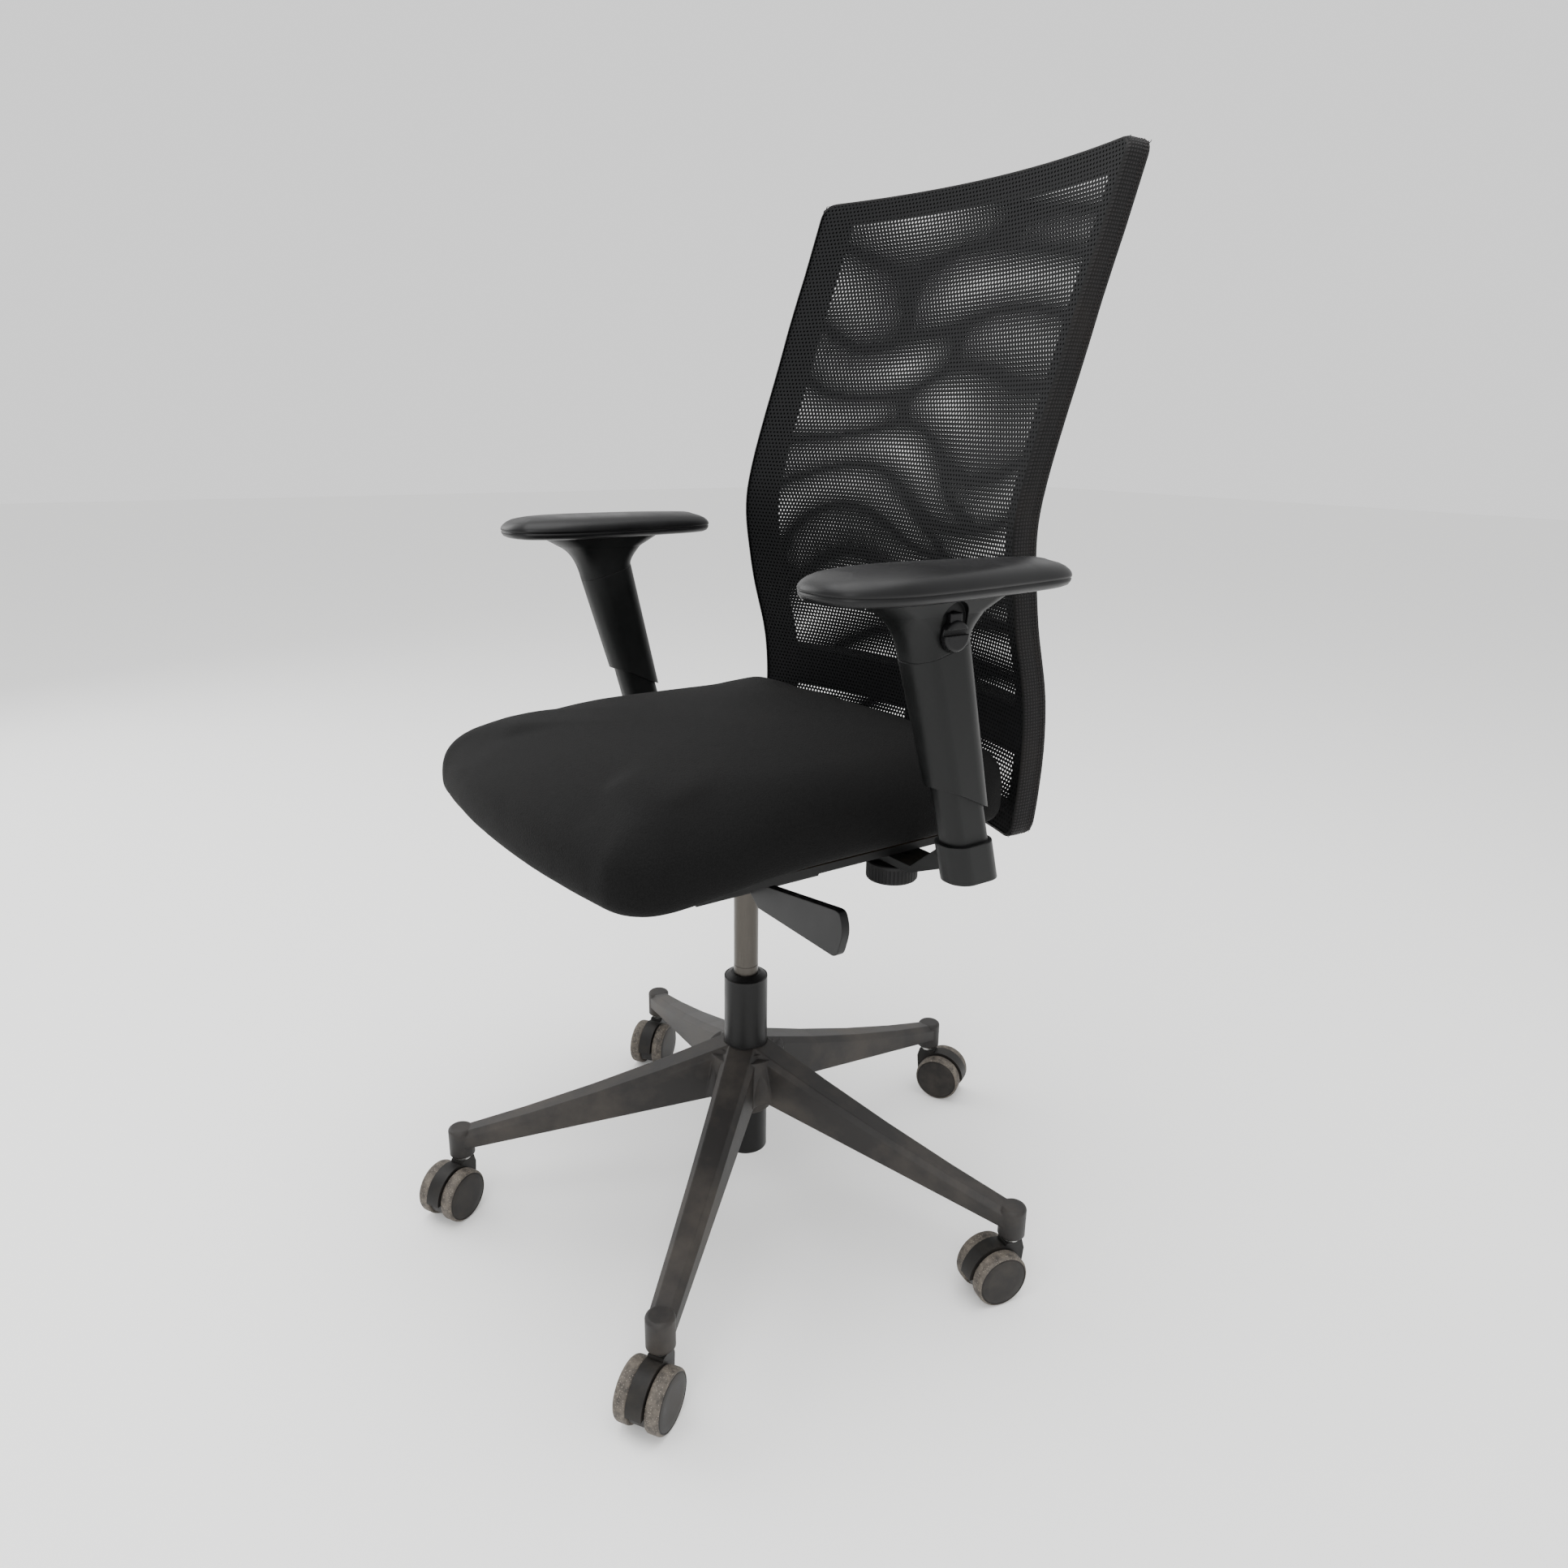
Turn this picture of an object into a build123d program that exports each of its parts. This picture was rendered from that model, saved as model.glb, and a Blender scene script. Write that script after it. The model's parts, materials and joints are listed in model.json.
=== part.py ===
from build123d import *
import os
from math import cos, pi, radians, sin

# Swivel office chair. Millimetres, +Z up, the sitter faces -Y and the sitter's left is +X.
# The origin is on the floor, on the axis of the gas lift.

os.makedirs("parts", exist_ok=True)

# ---------------------------------------------------------------- driving dimensions
running_gap = 0.08          # radial clearance of a pin that turns in its hole
slide_gap = 0.35            # clearance round a moulded part that slides
layer_gap = 0.3             # air left beside a soft or curved neighbour

# star base and casters
arm_count = 5
first_arm_angle = -47.0     # direction of arm 1
base_radius = 335.0         # lift axis to caster stem
hub_top = 199.0
hub_radius = 34.0
hub_height = 62.0
web_radius = 18.0           # hollow corner between two arms
arm_root = (20.0, 141.0)    # half width and lower edge of an arm at the hub
arm_tip = (13.5, 80.0)      # the same at the caster socket
arm_tip_top = 100.0
arm_sag = 5.0               # how far the arm dips below a straight line
arm_bevel = 6.0
base_wall = 4.5
socket_radius = 14.5
socket_low = 69.0
socket_high = 103.0
wheel_radius = 30.0
wheel_width = 15.0
hood_width = 17.0
wheel_side_gap = 0.5
caster_trail = 22.0
caster_headings = [302.0, 258.0, 29.0, 307.0, 298.0]
stem_radius = 5.5
stem_foot = 40.0
stem_top = 98.0
collar_low = 63.0
axle_radius = 4.0

# gas lift
column_radius = 25.0
column_wall = 1.5
column_foot = 63.0
column_top = 287.0
cylinder_radius = 14.0
cylinder_wall = 2.0
cylinder_foot = 183.0
cylinder_top = 435.0
bush_length = 80.0
rod_radius = 5.0
ball_radius = 3.0
ball_circle = 9.5
ball_count = 8
washer_thickness = 2.0

# tilt mechanism
mech_floor = 413.0
mech_sheet = 4.0
mech_half_width = 52.0
mech_wall = 6.0
mech_front = -96.0
mech_rear = 76.0
mech_high = 473.0           # wall height at the front
mech_low = 461.0            # wall height at the rear
front_axle = (-70.0, 467.0)  # y and z of the seat pivot
rear_axle = (60.0, 447.0)   # y and z of the backrest pivot
pivot_radius = 5.0
tension_x = -24.0
tension_z = 439.0

# height lever
lever_y = -33.0
lever_thickness = 9.0
lever_pivot = (38.0, 429.0)  # x and z
lever_pin_radius = 3.0
lever_reach = 222.0
lever_low = 405.0
lever_high = 453.0
valve_radius = 4.0
valve_height = 6.0

# seat
seat_half_width = 236.0
seat_front = -291.0
seat_corner_front = -277.0
seat_rear = 194.0
seat_corner_rear = 180.0
seat_corner_radius = 36.0   # rear corners
board_corner_radius = 54.0
front_corner_radius = 50.0
seat_top = 592.0
seat_under = 501.0          # underside of the seat board
seat_lip = 494.0            # lowest point of the front edge
board_front = -198.0        # the board stops behind the front edge roll
board_inset = 38.0          # from the cushion side to the board side
shell_inset = 30.0
under_rise = 10.0           # the cushion side rises this far above the board
board_thickness = 10.0
shell_thickness = 8.0
plate_thickness = 6.0
plate_half_width = 70.0
plate_front = -112.0
plate_rear = 110.0
seat_bolt_radius = 4.0

# backrest
back_half_width = 231.0
back_low = 487.0
back_high = 1148.0
back_corner = 15.0
back_inner_corner = 5.0
back_hollow = 40.0          # how far the middle lies behind the sides
mesh_thickness = 1.5
frame_depth = 27.0
frame_width = 22.0
crossbar_low = 573.0
crossbar_high = 623.0
carrier_half_width = 38.0
carrier_sheet = 18.0
# side profile of the backrest's front face: height and y at the side edges
back_profile = [(475, 172), (528, 180), (593, 183), (654, 175), (697, 163), (739, 155), (799, 149),
                (858, 161), (915, 180), (963, 197), (1011, 213), (1067, 234), (1104, 247), (1163, 268)]

# armrests
arm_x = 300.5
arm_lean = 15.0             # the post leans forward as it rises
socket_y = 37.0
socket_top = 534.0
socket_bottom = 500.0
post_size = (30.0, 46.0, 13.0)
post_foot = -18.0
sleeve_foot_size = (38.0, 54.0, 18.0)
sleeve_head_size = (44.0, 65.0, 20.0)
socket_size = (38.0, 53.0, 17.0)
sleeve_joint = 189.0        # along the post, from the socket top to the head
post_reach = 140.0
pad_front = -141.0
pad_rear = 129.0
pad_half_width = 47.5
pad_low = 761.0
pad_high = 787.0
bar_y = 51.0
bar_half_width = 20.0
bar_low = 484.7
bar_thickness = 8.0
bar_inner = 95.0
bar_bend = 235.0            # where the bar leaves the seat and climbs to the socket
knob_x = 188.0
knob_radius = 26.0
knob_height = 20.0
clamp_radius = 4.0
width_travel_in = 20.0
width_travel_out = 30.0


# ---------------------------------------------------------------- helpers
def save(name, shape):
    """Write one sub-part."""
    export_step(shape, f"parts/{name}.step")


def block(x, y, z):
    """A box from three (low, high) pairs."""
    size = [pair[1] - pair[0] for pair in (x, y, z)]
    return Pos(x[0], y[0], z[0]) * Box(*size, align=(Align.MIN, Align.MIN, Align.MIN))


def upright(radius, low, high, x=0.0, y=0.0):
    """A round bar along Z."""
    return Pos(x, y, low) * Cylinder(radius, high - low, align=(Align.CENTER, Align.CENTER, Align.MIN))


def crosswise(radius, low, high, y, z):
    """A round bar along X."""
    bar = Cylinder(radius, high - low, align=(Align.CENTER, Align.CENTER, Align.MIN))
    return Pos(low, y, z) * Rot(0, 90, 0) * bar


def lengthwise(radius, low, high, x, z):
    """A round bar along Y."""
    bar = Cylinder(radius, high - low, align=(Align.CENTER, Align.CENTER, Align.MIN))
    return Pos(x, low, z) * Rot(-90, 0, 0) * bar


def side_cut(outline, low, high):
    """A (y, z) outline swept along X."""
    face = make_face(outline)
    return extrude(Plane.YZ.offset(low) * face, amount=high - low, dir=(1, 0, 0))


def front_cut(outline, low, high):
    """An (x, z) outline swept along Y."""
    face = make_face(outline)
    return extrude(Plane.XZ.offset(-low) * face, amount=high - low, dir=(0, 1, 0))


def plan_cut(outline, low, high):
    """An (x, y) outline swept along Z."""
    return extrude(Pos(0, 0, low) * make_face(outline), amount=high - low, dir=(0, 0, 1))


def closed(*points):
    """A closed straight-sided outline."""
    return Polyline(*points, close=True)


def other_side(shape):
    """The same piece on the sitter's right."""
    return mirror(shape, about=Plane.YZ)


# ---------------------------------------------------------------- star base
def arm_section(radius, half_width, low, high, bevel):
    """Outline across an arm at one distance from the lift axis."""
    outline = closed((-half_width, low), (half_width, low), (half_width, high - bevel),
                     (half_width - bevel, high), (bevel - half_width, high), (-half_width, high - bevel))
    return Plane.YZ.offset(radius) * make_face(outline)


def arm_top(radius):
    """Height of an arm's top at one distance from the lift axis."""
    share = (radius - hub_radius) / (base_radius - hub_radius)
    return hub_top + share * (arm_tip_top - hub_top) - 4 * arm_sag * share * (1 - share)


def arm_half(radius):
    """Half width of an arm at one distance from the lift axis."""
    share = (radius - hub_radius) / (base_radius - hub_radius)
    return arm_root[0] + share * (arm_tip[0] - arm_root[0])


def arm_low(radius):
    """Lower edge of an arm at one distance from the lift axis."""
    share = (radius - hub_radius) / (base_radius - hub_radius)
    return arm_root[1] + share * (arm_tip[1] - arm_root[1])


def base_arm():
    """One arm with its hollow, ribbed underside."""
    stations = [column_radius - 5, 100, 180, 260, base_radius]
    solid = loft([arm_section(r, arm_half(r), arm_low(r), arm_top(r), arm_bevel) for r in stations], ruled=True)
    start = hub_radius + 26
    stop = base_radius - socket_radius - 8
    hollow = []
    for near, far in zip([start, 180], [180, stop]):
        ends = [arm_section(r, arm_half(r) - base_wall, socket_low - 20, arm_top(r) - base_wall - 3, 3)
                for r in (near, far)]
        hollow.append(loft(ends, ruled=True))
    hollow = hollow[0] + hollow[1]
    rib_count = 5
    for number in range(1, rib_count + 1):
        place = start + number * (stop - start) / (rib_count + 1)
        hollow -= block((place - 1.5, place + 1.5), (-40, 40), (0, hub_top + 20))
    return solid - hollow


def star_base():
    """Hub, five arms and five caster sockets in one moulding."""
    hub_low = hub_top - hub_height
    web_place = (arm_root[0] + web_radius) / sin(pi / arm_count)
    web_reach = web_place * cos(pi / arm_count)
    body = Pos(0, 0, hub_low + 4) * Cone(web_reach, web_reach - 8, hub_height - 8,
                                         align=(Align.CENTER, Align.CENTER, Align.MIN))
    for number in range(arm_count):
        middle = radians(first_arm_angle + (number + 0.5) * 360 / arm_count)
        body -= upright(web_radius, hub_low, hub_top + 5, web_place * cos(middle), web_place * sin(middle))
    body += upright(hub_radius, hub_low, hub_top)
    body += upright(column_radius + 6, hub_low - 16, hub_low + 4)
    arm = base_arm()
    socket = upright(socket_radius, socket_low, socket_high, base_radius)
    socket = fillet(socket.edges().group_by(Axis.Z)[-1], 4)
    for number in range(arm_count):
        turn = Rot(0, 0, first_arm_angle + number * 360 / arm_count)
        body += turn * arm
        body += turn * socket
    for number in range(arm_count):
        turn = Rot(0, 0, first_arm_angle + number * 360 / arm_count)
        body -= turn * upright(stem_radius + running_gap, socket_low - 1, stem_top + 1, base_radius)
    return body - upright(column_radius, 0, hub_top + 40)


save("star_base", star_base())

# ---------------------------------------------------------------- gas lift
column_bore = column_radius - column_wall
tube = upright(column_radius, column_foot, column_top) - upright(column_bore, column_foot + 2, column_top + 1)
tube -= upright(rod_radius + running_gap, column_foot - 1, column_foot + 3)
save("column_tube", tube)

bush = upright(column_bore, column_top - bush_length, column_top)
bush += Pos(0, 0, column_top) * Cone(column_bore, cylinder_radius + 3, 4,
                                     align=(Align.CENTER, Align.CENTER, Align.MIN))
bush -= upright(cylinder_radius + running_gap, column_top - bush_length - 1, column_top + 6)
save("column_bushing", bush)

bearing_low = column_foot + 2
bearing_high = bearing_low + 2 * washer_thickness + 2 * ball_radius
washer = upright(14, 0, washer_thickness) - upright(rod_radius + running_gap, -1, washer_thickness + 1)
bearing = [Pos(0, 0, bearing_low) * washer, Pos(0, 0, bearing_high - washer_thickness) * washer]
for number in range(ball_count):
    ball_place = Pos(ball_circle, 0, bearing_low + washer_thickness + ball_radius)
    bearing.append(Rot(0, 0, number * 360 / ball_count) * ball_place * Sphere(ball_radius))
save("thrust_bearing", Part() + bearing)

piston_low = cylinder_foot + 6
rod = upright(rod_radius, column_foot - 8, piston_low + 4)
rod += upright(8, bearing_high, bearing_high + 4)
rod += upright(cylinder_radius - cylinder_wall - running_gap, piston_low, piston_low + 14)
rod += upright(9, column_foot - 6, column_foot - 3)
save("piston_rod", rod)

cylinder = upright(cylinder_radius, cylinder_foot, cylinder_top)
cylinder -= upright(cylinder_radius - cylinder_wall, cylinder_foot + 4, cylinder_top - 14)
cylinder -= upright(rod_radius + running_gap, cylinder_foot - 1, cylinder_foot + 5)
cylinder -= upright(valve_radius + running_gap, cylinder_top - 15, cylinder_top + 1)
groove = upright(cylinder_radius + 1, column_top + 14, column_top + 15)
cylinder -= groove - upright(cylinder_radius - 0.4, column_top + 13, column_top + 16)
save("gas_cylinder", cylinder)

valve_top = cylinder_top + valve_height
save("valve_pin", upright(valve_radius, cylinder_top - 8, valve_top))


# ---------------------------------------------------------------- casters
def caster_hood():
    """Centre housing between the wheels, with the tower that holds the stem."""
    hood_radius = wheel_radius + 2.5
    low = 14.0
    half = hood_width / 2
    disc = Pos(caster_trail, -half, wheel_radius) * Rot(-90, 0, 0)
    hood = disc * Cylinder(wheel_radius - 3, hood_width, align=(Align.CENTER, Align.CENTER, Align.MIN))
    crown = disc * Cylinder(hood_radius, hood_width, align=(Align.CENTER, Align.CENTER, Align.MIN))
    hood += crown & block((-80, 80), (-half, half), (wheel_radius, 90))
    hood -= block((-80, 80), (-40, 40), (-5, low))
    tower = closed((-10, wheel_radius), (14, wheel_radius), (14, 52), (10, collar_low), (-9, collar_low), (-12, 52))
    hood += front_cut(tower, -half, half)
    hood -= upright(stem_radius, stem_foot, 80)
    hood -= Pos(caster_trail, -half - 1, wheel_radius) * Rot(-90, 0, 0) * Cylinder(
        axle_radius, hood_width + 2, align=(Align.CENTER, Align.CENTER, Align.MIN))
    return hood


def caster_pins():
    """The steel swivel stem with its collar, and the axle."""
    stem = upright(stem_radius, stem_foot, stem_top) + upright(9, collar_low, collar_low + 3)
    axle_reach = hood_width / 2 + wheel_side_gap + wheel_width - 2.5
    return Part() + [stem, lengthwise(axle_radius, -axle_reach, axle_reach, caster_trail, wheel_radius)]


def caster_wheel():
    """One wheel on the +Y side: hub, web, rounded tread and flat outer cap."""
    inner = hood_width / 2 + wheel_side_gap
    outer = inner + wheel_width
    bore = axle_radius + running_gap
    outline = closed((bore, inner), (14, inner), (14, inner + 5), (wheel_radius - 6, inner + 5),
                     (wheel_radius - 6, inner + 0.6), (wheel_radius - 1.5, inner + 0.6),
                     (wheel_radius, inner + 2.1), (wheel_radius, outer - 3),
                     (wheel_radius - 0.9, outer - 0.9), (wheel_radius - 3, outer),
                     (wheel_radius - 6, outer), (wheel_radius - 7, outer - 1.2), (0, outer - 1.2),
                     (0, outer - 2), (bore, outer - 2))
    wheel = revolve(Plane.XY * make_face(outline), axis=Axis.Y)
    return Pos(caster_trail, 0, wheel_radius) * wheel


hood_shape = caster_hood()
pins_shape = caster_pins()
wheel_shape = caster_wheel()
wheel_mirrored = mirror(wheel_shape, about=Plane.XZ)
for number in range(arm_count):
    arm_turn = first_arm_angle + number * 360 / arm_count
    spot = Rot(0, 0, arm_turn) * Pos(base_radius, 0, 0)
    place = spot * Rot(0, 0, caster_headings[number] - arm_turn)
    save(f"caster_hood_{number + 1}", place * hood_shape)
    save(f"caster_pins_{number + 1}", place * pins_shape)
    save(f"caster_wheel_{number + 1}a", place * wheel_shape)
    save(f"caster_wheel_{number + 1}b", place * wheel_mirrored)


# ---------------------------------------------------------------- tilt mechanism
def mechanism_body():
    """Open-topped steel channel with the socket for the gas cylinder."""
    inner = mech_half_width - mech_wall
    floor_rear = rear_axle[0] + 2
    wall = closed((mech_front, mech_floor), (floor_rear, mech_floor), (mech_rear, rear_axle[1] - 10),
                  (mech_rear, mech_low), (rear_axle[0] - 20, mech_low), (front_axle[0] + 25, mech_high),
                  (mech_front, mech_high))
    body = side_cut(wall, inner, mech_half_width) + side_cut(wall, -mech_half_width, -inner)
    body += block((-inner, inner), (mech_front, floor_rear), (mech_floor, mech_floor + mech_sheet))
    body += block((-inner, inner), (mech_front, mech_front + mech_wall), (mech_floor, mech_high - 14))
    body += upright(cylinder_radius + 7, mech_floor - 6, cylinder_top - 4)
    body -= upright(cylinder_radius, mech_floor - 10, cylinder_top)
    for y, z in (front_axle, rear_axle):
        body -= crosswise(pivot_radius, -mech_half_width - 1, mech_half_width + 1, y, z)
    half = lever_thickness / 2 + 1.5
    px, pz = lever_pivot
    lug = block((px - 7, inner + 1), (lever_y - half - 5, lever_y + half + 5), (pz - 8, pz + 7))
    lug -= lengthwise(lever_pin_radius, lever_y - 30, lever_y + 30, px, pz)
    window = block((px - 20, px + 30), (lever_y - half, lever_y + half), (mech_floor + 3, pz + 14))
    body += lug
    body += other_side(lug)
    body -= window
    body -= other_side(window)
    body -= lengthwise(pivot_radius + running_gap, mech_front - 1, mech_front + 10, tension_x, tension_z)
    return body


save("mechanism_body", mechanism_body())

axle_half = plate_half_width - 6
axles = [crosswise(pivot_radius, -axle_half, axle_half, *front_axle),
         crosswise(pivot_radius, -mech_half_width - 3, mech_half_width + 3, *rear_axle)]
lever_pin_half = lever_thickness / 2 + 6.5
lever_pin = lengthwise(lever_pin_radius, lever_y - lever_pin_half, lever_y + lever_pin_half, *lever_pivot)
axles += [lever_pin, other_side(lever_pin)]
save("mechanism_axles", Part() + axles)

bolt_tail = mech_front + 50
knob_stand = 4.0            # from the front wall to the tension knob
grip_bore = 20.0            # depth of the bolt in the tension knob
tension_bolt = lengthwise(pivot_radius, mech_front - knob_stand - grip_bore, bolt_tail, tension_x, tension_z)
save("tension_bolt", tension_bolt)

spring_radius = 8.5
spring_wire = 1.6
coil = Helix(pitch=5.0, height=32.0, radius=spring_radius)
spring_section = Plane(origin=coil @ 0, z_dir=coil % 0) * Circle(spring_wire)
spring = sweep(spring_section, path=coil)
spring_place = Pos(tension_x, mech_front + mech_wall + spring_wire + 1, tension_z) * Rot(-90, 0, 0)
save("tension_spring", spring_place * spring)


def ribbed_grip(radius, height, rib_count):
    """A knob along +Z with shallow grooves round its rim."""
    grip = upright(radius, 0, height)
    grip = fillet(grip.edges().group_by(Axis.Z)[-1], 3)
    grip = chamfer(grip.edges().group_by(Axis.Z)[0], 1)
    for number in range(rib_count):
        notch = upright(1.1, 4, height + 1, radius + 0.3)
        grip -= Rot(0, 0, number * 360 / rib_count) * notch
    return grip


tension_grip = ribbed_grip(20, 24, 20) - upright(pivot_radius, -1, grip_bore)
tension_place = Pos(tension_x, mech_front - knob_stand, tension_z) * Rot(90, 0, 0)
save("tension_knob", tension_place * tension_grip)


def lever_blade():
    """Height lever: pivot eye, finger over the valve pin, and the flared paddle."""
    half = lever_thickness / 2
    px, pz = lever_pivot
    paddle = Polyline((px, pz - 7), (62, pz - 7), (80, lever_low + 3), (lever_reach - 16, lever_low))
    paddle += Spline((lever_reach - 16, lever_low), (lever_reach - 4, lever_low + 12),
                     (lever_reach, lever_high - 16), (lever_reach - 4, lever_high - 3),
                     (lever_reach - 16, lever_high), tangents=[(1, 0), (-1, -0.14)])
    paddle += Polyline((lever_reach - 16, lever_high), (76, lever_high - 18), (px, pz + 7), (px, pz - 7))
    blade = front_cut(paddle, lever_y - half, lever_y + half)
    eye = lengthwise(8, lever_y - half, lever_y + half, px, pz)
    finger_low = valve_top + 0.2
    finger = block((-5, px), (lever_y - half, lever_y + half), (finger_low, finger_low + 6))
    finger += block((-5, 5), (lever_y - half, 6), (finger_low, finger_low + 6))
    finger += block((px - 8, px + 4), (lever_y - half, lever_y + half), (pz, finger_low + 6))
    return blade + eye + finger


def lock_blade():
    """Recline lock lever on the other side: pivot eye and a slimmer paddle."""
    half = lever_thickness / 2
    px, pz = lever_pivot
    reach = lever_reach - 30
    outline = closed((px - 12, pz - 6), (px + 24, pz - 6), (reach - 50, lever_low + 8), (reach, lever_low + 6),
                     (reach + 6, lever_low + 14), (reach, lever_high - 12), (px, pz + 7), (px - 12, pz + 7))
    return other_side(front_cut(outline, lever_y - half, lever_y + half))


lever_pin_hole = lengthwise(lever_pin_radius + running_gap, lever_y - 20, lever_y + 20, *lever_pivot)
save("height_lever", lever_blade() - lever_pin_hole)
save("tilt_lever", lock_blade() - other_side(lever_pin_hole))


# ---------------------------------------------------------------- seat
def seat_plan():
    """Plan outline of the seat: straight sides, bowed front and rear, four rounded corners."""
    x = seat_half_width
    f = front_corner_radius
    r = seat_corner_radius
    outline = ThreePointArc((f - x, seat_corner_front), (0, seat_front), (x - f, seat_corner_front))
    outline += RadiusArc((x - f, seat_corner_front), (x, seat_corner_front + f), -f)
    outline += Line((x, seat_corner_front + f), (x, seat_corner_rear - r))
    outline += RadiusArc((x, seat_corner_rear - r), (x - r, seat_corner_rear), -r)
    outline += ThreePointArc((x - r, seat_corner_rear), (0, seat_rear), (r - x, seat_corner_rear))
    outline += RadiusArc((r - x, seat_corner_rear), (-x, seat_corner_rear - r), -r)
    outline += Line((-x, seat_corner_rear - r), (-x, seat_corner_front + f))
    outline += RadiusArc((-x, seat_corner_front + f), (f - x, seat_corner_front), -f)
    return outline


board_high = seat_under + board_thickness


def board_plan(inset):
    """Plan outline of the board and shell, which stop behind the front edge roll."""
    x = seat_half_width - inset
    rear = seat_rear - inset / 2
    centre = (0, (board_front + rear) / 2)
    return Pos(*centre) * RectangleRounded(2 * x, rear - board_front, board_corner_radius + board_inset - inset)


seat_board = extrude(Pos(0, 0, seat_under) * board_plan(board_inset), amount=board_thickness)


def under_wedge(y, rise):
    """Section of what is cut off below the cushion's side at one place."""
    inner = seat_half_width - shell_inset + 1
    outer = seat_half_width + 6
    return Plane.XZ.offset(-y) * make_face(closed((inner, seat_under), (outer, seat_under + rise * 1.2),
                                                  (outer, seat_lip - 9), (inner, seat_lip - 9)))


def seat_cushion():
    """Foam and fabric as one closed form, rolled down over the front edge."""
    front_wall = board_front - 4
    profile = Polyline((seat_rear + 1, seat_under + layer_gap), (seat_rear + 1, seat_top - 6),
                       (60, seat_top - 2), (-60, seat_top - 4))
    profile += Spline((-60, seat_top - 4), (-195, seat_top - 3), (-262, seat_top - 17),
                      (seat_front - 1, seat_top - 48), (seat_front + 11, seat_lip + 7),
                      (seat_front + 34, seat_lip), tangents=[(-1, 0), (1, 0)])
    profile += Polyline((seat_front + 34, seat_lip), (front_wall, seat_lip + 3),
                        (front_wall, seat_under + layer_gap), (seat_rear + 1, seat_under + layer_gap))
    body = side_cut(profile, -seat_half_width, seat_half_width)
    body &= plan_cut(seat_plan(), 0, 900)
    stations = [(-230, 0.5), (-160, under_rise), (seat_rear + 6, under_rise)]
    wedge = loft([under_wedge(y, rise) for y, rise in stations], ruled=True)
    body -= wedge
    body -= other_side(wedge)
    pocket = extrude(Pos(0, 0, seat_under - 5) * board_plan(board_inset - 0.4),
                     amount=board_thickness + 5 + layer_gap)
    return body - pocket


save("seat_board", seat_board)
save("seat_cushion", seat_cushion())

shell_low = seat_under - shell_thickness
guide_half = bar_half_width + 11
guide_low = 453.0
bar_high = bar_low + bar_thickness
seat_bolt_places = [(x, y) for x in (8 - plate_half_width, plate_half_width - 8)
                    for y in (plate_front + 14, plate_rear - 20)]


def seat_shell():
    """Moulded underside with the two guides that the arm bars slide in."""
    shell = extrude(Pos(0, 0, shell_low) * board_plan(shell_inset), amount=shell_thickness)
    for side in (-1, 1):
        boss = closed((84, shell_low + 1), (84, guide_low + 10), (94, guide_low), (126, guide_low),
                      (136, guide_low + 10), (136, shell_low + 1))
        guide = front_cut(boss, bar_y - guide_half, bar_y + guide_half)
        channel = block((60, 150), (bar_y - bar_half_width - slide_gap, bar_y + bar_half_width + slide_gap),
                        (bar_low - slide_gap, shell_low))
        guide -= channel
        head = block((knob_x - 9, knob_x + 9), (bar_y - 9, bar_y + 9), (shell_low + 3, seat_under + 1))
        hole = upright(clamp_radius, shell_low - 1, seat_under, knob_x, bar_y)
        shell += guide if side > 0 else other_side(guide)
        shell -= head if side > 0 else other_side(head)
        shell -= hole if side > 0 else other_side(hole)
    for x, y in seat_bolt_places:
        shell -= upright(seat_bolt_radius, shell_low - 1, seat_under + 1, x, y)
    return shell


save("seat_shell", seat_shell())

plate_high = shell_low
plate_low = plate_high - plate_thickness


def seat_plate():
    """Steel plate under the shell with the two ears of the seat pivot."""
    plate = block((-plate_half_width, plate_half_width), (plate_front, plate_rear), (plate_low, plate_high))
    ear_low = front_axle[1] - 12
    ear_in = mech_half_width + 1
    for side in (-1, 1):
        ear = side_cut(closed((front_axle[0] - 16, plate_low + 1), (front_axle[0] - 9, ear_low),
                              (front_axle[0] + 9, ear_low), (front_axle[0] + 16, plate_low + 1)),
                       ear_in, ear_in + 5)
        plate += ear if side > 0 else other_side(ear)
    plate -= crosswise(pivot_radius + running_gap, -90, 90, *front_axle)
    for x, y in seat_bolt_places:
        plate -= upright(seat_bolt_radius, plate_low - 1, plate_high + 1, x, y)
    return plate


save("seat_plate", seat_plate())

bolts = []
for x, y in seat_bolt_places:
    shank = upright(seat_bolt_radius, plate_low, seat_under, x, y)
    bolts.append(shank + upright(6.5, plate_low - 5, plate_low, x, y))
save("seat_bolts", Part() + bolts)

clamp_low = bar_low - knob_height - 1
clamp = upright(clamp_radius, clamp_low + 2, shell_low + 4, knob_x, bar_y)
clamp += block((knob_x - 8.5, knob_x + 8.5), (bar_y - 8.5, bar_y + 8.5), (shell_low + 3, shell_low + 7))
save("arm_clamp_bolts", Part() + [clamp, other_side(clamp)])


# ---------------------------------------------------------------- backrest
def back_skin(shift):
    """The curved face of the backrest, moved back by shift."""
    side = Spline(*[(y, z) for z, y in back_profile])
    columns = 9
    rows = 25
    reach = back_half_width + 12
    grid = []
    for row in range(rows):
        point = side @ (row / (rows - 1))
        line = []
        for column in range(columns):
            x = reach * (2 * column / (columns - 1) - 1)
            hollow = back_hollow * (1 - (x / back_half_width) ** 2)
            line.append(Vector(x, point.X + hollow + shift, point.Y))
        grid.append(line)
    return Face.make_surface_from_array_of_points(grid)


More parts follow.
